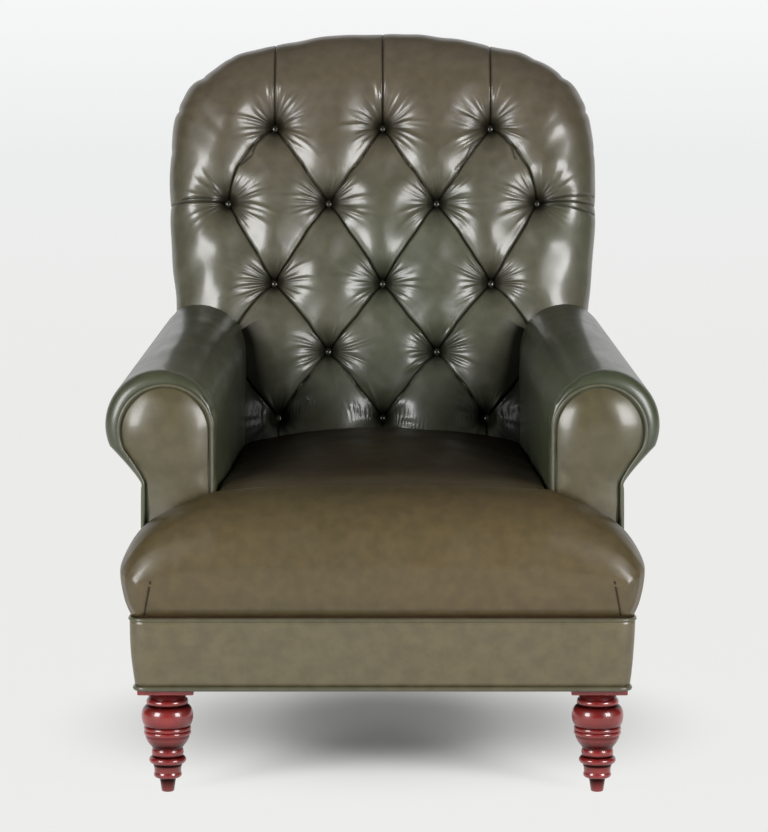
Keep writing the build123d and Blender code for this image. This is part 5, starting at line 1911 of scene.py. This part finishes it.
@dataclass
class TurnedLeg:
    """Front leg: a turning of beads, a vase and a cone under a square plinth.

    Attributes:
        centre_depth: depth of the leg's axis.
        plinth: half width of the plinth.
        groove_reach: height over which a groove is compared with what stands beside it.
        groove_depth: depth of a groove whose painted shade is fully dark.
    """

    side: Side
    frame: SeatFrame
    material: Material
    centre_x: float = 0.2868
    centre_depth: float = 0.042
    plinth: float = 0.0372
    plinth_height: float = 0.0100
    bevel: float = 0.0012
    groove_reach: float = 0.0045
    groove_depth: float = 0.0040

    def profile(self) -> Array:
        """Outline from the foot up: cones, beads as half rounds, and two hollow curves.

        Returns:
            (radius, height) points.
        """
        parts = [np.array([(0, 0), (6.6, 0), (8.0, 0.5), (8.6, 2.0), (10.5, 15.8), (11.6, 17.6)])]

        def bead(low: tuple, belly: float, high: tuple) -> None:
            """Add a half round.

            Args:
                low: radius and height of its lower edge.
                belly: its greatest radius.
                high: radius and height of its upper edge.
            """
            angle = np.linspace(-1, 1, 15)
            edge = np.interp(angle, (-1, 1), (low[0], high[0]))
            round_share = np.cos(angle * np.pi / 2)
            radius = edge + (belly - edge) * round_share
            height = np.interp(np.sin(angle * np.pi / 2), (-1, 1), (low[1], high[1]))
            parts.append(np.column_stack([radius, height]))

        def hollow(*points: tuple) -> None:
            """Add a smooth curve through points."""
            parts.append(spline(np.array(points), 16))

        bead((13.1, 19.0), 18.7, (17.9, 27.1))
        hollow((17.9, 28.2), (18.1, 31.5), (18.9, 35.5), (20.0, 38.3))
        bead((20.0, 38.5), 24.8, (19.1, 48.2))
        bead((19.1, 48.4), 21.4, (20.0, 58.6))
        hollow((20.0, 59.4), (22.2, 62.6), (26.0, 67.3), (28.8, 72.6), (29.8, 77.2))
        bead((29.6, 77.6), 31.6, (29.4, 83.5))
        bead((29.4, 83.6), 31.6, (30.6, 88.6))
        bead((28.6, 89.0), 34.6, (25.8, 117.6))
        bead((25.6, 118.0), 28.0, (25.2, 126.4))
        parts.append(np.array([(24.8, 126.8), (24.8, 138.4), (0, 138.4)]))
        return np.vstack(parts) * 0.001

    def groove_shade(self, profile: Array) -> tuple[Array, Array]:
        """Painted shade in the grooves: one less how far the radius lies below its neighbours'.

        Args:
            profile: the outline.

        Returns:
            Heights, and how unshaded the leg is at each.
        """
        heights = np.linspace(0.0, profile[:, 1].max() - 0.0002, 400)
        radius = np.interp(heights, profile[:, 1], profile[:, 0])
        around = np.abs(heights[:, None] - heights[None]) < self.groove_reach
        fullest = np.max(np.where(around, radius[None], 0), axis=1)
        shade = np.clip(1 - (fullest - radius) / self.groove_depth, 0, 1)
        return np.append(heights, 0.2), np.append(shade, 1.0)

    def build(self) -> Piece:
        """Turn the profile about the leg's axis and set the bevelled plinth on it.

        Returns:
            The piece.
        """
        profile = self.profile()
        angle = np.linspace(0, 2 * np.pi, 72, endpoint=False)
        x0, y0 = self.centre_x * self.side.value, self.frame.front + self.centre_depth
        ring = profile[:, :1] * np.cos(angle), profile[:, :1] * np.sin(angle)
        grid = np.stack([x0 + ring[0], y0 + ring[1], np.broadcast_to(profile[:, 1:], ring[0].shape)], axis=2)
        skin = Skin()
        skin.add(grid, around=True)
        low, high = self.frame.low - self.plinth_height, self.frame.low - 0.0001
        wide, narrow = self.plinth, self.plinth - self.bevel
        rows = []
        for half, z in [(0, low), (narrow, low), (wide, low + self.bevel), (wide, high), (0, high)]:
            corner = np.array([(1, 1), (-1, 1), (-1, -1), (1, -1)]) * half
            sides = [np.linspace(corner[k], corner[(k + 1) % 4], 8, endpoint=False) for k in range(4)]
            flat = np.vstack(sides) + [x0, y0]
            rows.append(np.column_stack([flat, np.full(len(flat), z)]))
        block = Skin()
        block.add(np.array(rows), around=True)
        skin.join(block)
        name = self.side.prefix + "turned_leg"
        mesh = skin.mesh(name, weld=1e-5)
        height = corner_points(mesh)[:, 2]
        # Painted shade in the grooves of the turning, as the map's second value.
        write_shade_map(mesh, np.ones(len(height)), np.interp(height, *self.groove_shade(profile)))
        smooth = [max(map(abs, p.normal)) <= 0.999 or p.center.z <= low for p in mesh.polygons]
        mesh.polygons.foreach_set("use_smooth", smooth)
        return place(name, mesh, self.material, "mahogany", self.side.prefix + "front_leg")


@dataclass
class RearPost:
    """Back post and rear leg in one length, with its edges eased."""

    side: Side
    material: Material
    bevel: float = 0.0012

    def build(self) -> Piece:
        """Merged copy of the timber with a small bevel.

        Returns:
            The piece.
        """
        node = self.side.prefix + "back_post"
        mesh = frame["nodes"][node].data.copy()
        work = bmesh.new()
        work.from_mesh(mesh)
        bmesh.ops.remove_doubles(work, verts=work.verts, dist=1e-5)
        bmesh.ops.dissolve_limit(work, angle_limit=0.02, verts=work.verts, edges=work.edges)
        work.to_mesh(mesh)
        work.free()
        mesh.name = self.side.prefix + "rear_post"
        mesh.materials.clear()
        piece = place(mesh.name, mesh, self.material, "post_wood", node)
        bevel = piece.modifiers.new("edges", "BEVEL")
        bevel.width = self.bevel
        bevel.segments = 2
        bevel.limit_method = "ANGLE"
        return piece


@dataclass
class InnerWorks:
    """Finishes of the timber, springs, cloth and fastenings that stay as the frame has them."""

    finishes: dict[str, Material]

    def dress(self, replaced: set[str]) -> None:
        """Give each node that still stands for itself a finish picked by the words of its name, and log its
        slot.

        Args:
            replaced: names of the nodes that a piece stands for.
        """
        listed = [node for node in frame["record"].get("nodes", []) if isinstance(node, dict)]
        slots = {node["name"]: node.get("material") for node in listed}
        for name, node in frame["nodes"].items():
            if name in replaced:
                continue
            material = self.finishes[self.kind(name)]
            if not node.material_slots:
                node.data.materials.append(material)
            for slot_ in node.material_slots:
                slot_.material = material
            log.info("%s: dressed, slot %s", name, slots.get(name))

    @staticmethod
    def kind(name: str) -> str:
        """Which finish a node takes.

        Args:
            name: the node's name.

        Returns:
            The finish's name.
        """
        words = (
            ("hessian", "hessian"), ("webbing", "webbing"), ("twine", "twine"), ("wads", "wadding"),
            ("spring", "spring"), ("tacks", "tacks"), ("screws", "steel"), ("dust_cover", "lining"),
        )
        return next((finish for word, finish in words if word in name), "beech")


@dataclass
class Studio:
    """Pale floor and backdrop, two tall soft lamps, a dim overhead one, and the camera.

    Attributes:
        distance: from the camera to the front of the seat timber.
        focal_pixels: focal length in pixels of a picture of image_height, which is its longer side.
        pitch_down: degrees by which the camera looks down.
        shadow_centre: middle of the patch of floor that keeps its shadow.
    """

    frame: SeatFrame
    distance: float = 4.2
    camera_height: float = 1.0002
    focal_pixels: float = 3238.0
    pitch_down: float = 6.665
    image_height: float = 832.0
    wall_height: float = 3.2
    shadow_centre: Triple = (0, 0.07, 0)
    soft_box: tuple = (1.3, 1.6)
    box_power: float = 122

    def stage_material(self) -> Material:
        """Pale matt paper near the chair, which keeps its shadow, and bright paper far behind it.

        The far part is light by itself for camera and glossy rays, in a ramp up the wall.

        Returns:
            The material.
        """
        material, nodes, shader = tree("paper")
        shade = ramp(nodes, noise(nodes, 0.7, 2), [(0.3, (0.80, 0.80, 0.79)), (0.7, (0.83, 0.83, 0.825))])
        fill(nodes, shader, {"Base Color": shade, "Roughness": 0.9, "Specular IOR Level": 0.1})
        here = own_place(nodes)
        up = add(nodes, "SeparateXYZ", {"Vector": here}).outputs["Z"]
        height = add(nodes, "MapRange", {"Value": up, "From Max": self.wall_height}).outputs["Result"]
        stops = [(0.0, (0.85, 0.85, 0.835)), (0.2, (0.86, 0.87, 0.87)), (0.45, (1.0, 1.0, 1.0))]
        glow = add(nodes, "Emission", {"Color": ramp(nodes, height, stops)}).outputs["Emission"]
        away = add(nodes, "VectorMath", {0: here, 1: self.shadow_centre}, operation="DISTANCE")
        reach = {"From Min": 0.12, "From Max": 0.52, "To Min": 0.05, "To Max": 0.97}
        reach["Value"] = away.outputs["Value"]
        distance = add(nodes, "MapRange", reach, interpolation_type="SMOOTHSTEP").outputs["Result"]
        path = add(nodes, "LightPath", {}).outputs
        rays = {0: path["Is Camera Ray"], 1: path["Is Glossy Ray"]}
        seen = add(nodes, "Math", rays, operation="MAXIMUM").outputs["Value"]
        factor = add(nodes, "Math", {0: seen, 1: distance}, operation="MULTIPLY").outputs["Value"]
        inputs = {"Fac": factor, 1: shader.outputs["BSDF"], 2: glow}
        blend = add(nodes, "MixShader", inputs).outputs["Shader"]
        feed(nodes, nodes.nodes["Material Output"].inputs["Surface"], blend)
        return material

    def build_stage(self) -> None:
        """Floor that sweeps up into a wall behind: a quarter round between two straights."""
        bend, back, front = 1.2, 4.5, -9.0
        angle = np.linspace(0, np.pi / 2, 24)
        y = np.concatenate([[front], back + bend * np.sin(angle), [back + bend]])
        z = np.concatenate([[0], bend * (1 - np.cos(angle)), [6.5]])
        x = np.linspace(-9, 9, 3)
        grid = np.stack(np.broadcast_arrays(x[None], y[:, None], z[:, None]), axis=2)
        skin = Skin()
        skin.add(grid)
        mesh = skin.mesh("backdrop", close=False)
        sheet = bpy.data.objects.new("backdrop", mesh)
        mesh.materials.append(self.stage_material())
        bpy.context.scene.collection.objects.link(sheet)

    def lamp(self, name: str, place_: tuple, target: tuple, size: tuple, power: float) -> None:
        """Rectangular soft lamp.

        Args:
            name: its name.
            place_: where it stands.
            target: the point it is aimed at.
            size: its width and height.
            power: its power in watts.
        """
        data = bpy.data.lights.new(name, "AREA")
        data.shape = "RECTANGLE"
        data.size, data.size_y = size
        data.energy = power
        lamp = bpy.data.objects.new(name, data)
        lamp.location = place_
        lamp.rotation_euler = (Vector(target) - Vector(place_)).to_track_quat("-Z", "Y").to_euler()
        bpy.context.scene.collection.objects.link(lamp)

    def build(self) -> None:
        """Set the stage, the lamps, the room's light and the camera."""
        self.build_stage()
        self.lamp("left_box", (-2.45, -2.5, 1.35), (0, 0, 0.6), self.soft_box, self.box_power)
        self.lamp("right_box", (2.45, -2.5, 1.35), (0, 0, 0.6), self.soft_box, self.box_power)
        self.lamp("overhead", (0, -0.4, 4.0), (0, 0.0, 0), (4.5, 3.5), 10)
        world = bpy.data.worlds.new("room")
        bpy.context.scene.world = world
        world.use_nodes = True
        background = world.node_tree.nodes["Background"]
        background.inputs["Color"].default_value = (0.9, 0.92, 0.95, 1)
        background.inputs["Strength"].default_value = 0.02
        data = bpy.data.cameras.new("camera")
        data.sensor_width = 36
        data.lens = self.focal_pixels * data.sensor_width / self.image_height
        camera = bpy.data.objects.new("camera", data)
        camera.location = (0.002, self.frame.front - self.distance, self.camera_height)
        camera.rotation_euler = (math.radians(90 - self.pitch_down), 0, 0)
        bpy.context.scene.collection.objects.link(camera)
        bpy.context.scene.camera = camera
        bpy.context.scene.view_settings.view_transform = "Standard"


def main() -> None:
    """Build the chair sub-assembly by sub-assembly round its frame."""
    logging.basicConfig(level=logging.INFO, format="%(name)s: %(message)s")
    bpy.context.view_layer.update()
    low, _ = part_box("front_rail")
    seat_frame = SeatFrame(front=low.y)
    # The back's own map paints shade in the button wells, beside the arms and along the folds.
    back_hide = Leather(
        "back_leather", (0.066, 0.072, 0.046), (0.080, 0.070, 0.044), turn_axis="Z", turn_range=(0.68, 0.95),
        turned=(0.078, 0.062, 0.038), coat=0.52, coat_roughness=0.20, paints_shade=True,
    ).build()
    # Painted shade: the arm leather turns darker towards the back.
    arm_hide = Leather(
        "arm_leather", (0.038, 0.047, 0.024), (0.046, 0.046, 0.024), turn_axis="Y", turn_range=(-0.32, 0.05),
        turned=(0.024, 0.027, 0.016),
    ).build()
    # Painted shade: the seat turns near black towards the back and keeps a fifth of its gloss there; its own
    # map paints the shade beside the arms.
    seat_hide = Leather(
        "seat_leather", (0.070, 0.055, 0.022), (0.082, 0.058, 0.023), turn_axis="Y",
        turn_range=(-0.445, -0.27), turned=(0.0155, 0.0097, 0.0037), turned_sheen=0.2, paints_shade=True,
    ).build()
    facing_hide = Leather("facing_leather", (0.066, 0.058, 0.028), (0.075, 0.059, 0.028)).build()
    border_hide = Leather("border_leather", (0.088, 0.076, 0.040), (0.098, 0.078, 0.040)).build()
    outside_hide = Leather("outside_leather", (0.066, 0.074, 0.045), (0.080, 0.074, 0.044)).build()
    welt_hide = Leather("welt_leather", (0.060, 0.062, 0.036), (0.076, 0.066, 0.038), grain=0.1).build()
    button_hide = Leather(
        "button_leather", (0.018, 0.018, 0.012), (0.022, 0.019, 0.012), roughness=(0.2, 0.28), coat=0.2,
    ).build()
    # The legs' own map paints shade in the grooves of the turning.
    mahogany = Polished(
        "mahogany", (0.120, 0.007, 0.006), (0.230, 0.015, 0.013), roughness=0.28, coat=0.8, paints_shade=True,
    ).build()
    post_wood = Polished(
        "post_wood", (0.075, 0.012, 0.010), (0.150, 0.024, 0.018), roughness=0.35, coat=0.3,
    ).build()
    finishes = {
        "beech": Polished("beech", (0.42, 0.27, 0.15), (0.56, 0.39, 0.24), roughness=0.55, coat=0.0).build(),
        "hessian": Woven("hessian", (0.36, 0.27, 0.16)).build(),
        "webbing": Woven("webbing", (0.40, 0.33, 0.22), pitch=0.0012).build(),
        "twine": Woven("twine", (0.50, 0.44, 0.33), pitch=0.0006).build(),
        "wadding": Woven("wadding", (0.70, 0.66, 0.56), pitch=0.0015).build(),
        "lining": Woven("lining", (0.02, 0.02, 0.02), pitch=0.0008).build(),
        "spring": Steel("spring_steel", (0.55, 0.44, 0.34)).build(),
        "steel": Steel("steel", (0.5, 0.5, 0.48)).build(),
        "tacks": Steel("tack_steel", (0.12, 0.12, 0.14)).build(),
    }
    back = TuftedBack(seat_frame.button_plane(), seat_frame, back_hide)
    back.build()
    back.build_buttons(button_hide)
    OutsideBack(back, outside_hide, welt_hide).build()
    SprungSeat(seat_frame, seat_hide).build()
    BorderBand(seat_frame, border_hide, welt_hide).build()
    for side in Side:
        arm = RolledArm(side, seat_frame, arm_hide, facing_hide, outside_hide, welt_hide)
        arm.build_roll()
        arm.build_facing()
        arm.build_welts()
        arm.build_panel()
        TurnedLeg(side, seat_frame, mahogany).build()
        RearPost(side, post_wood).build()
    replaced = {name for name, node in frame["nodes"].items() if node.hide_render}
    InnerWorks(finishes).dress(replaced)
    Studio(seat_frame).build()


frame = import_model()

if __name__ == "__main__":
    main()
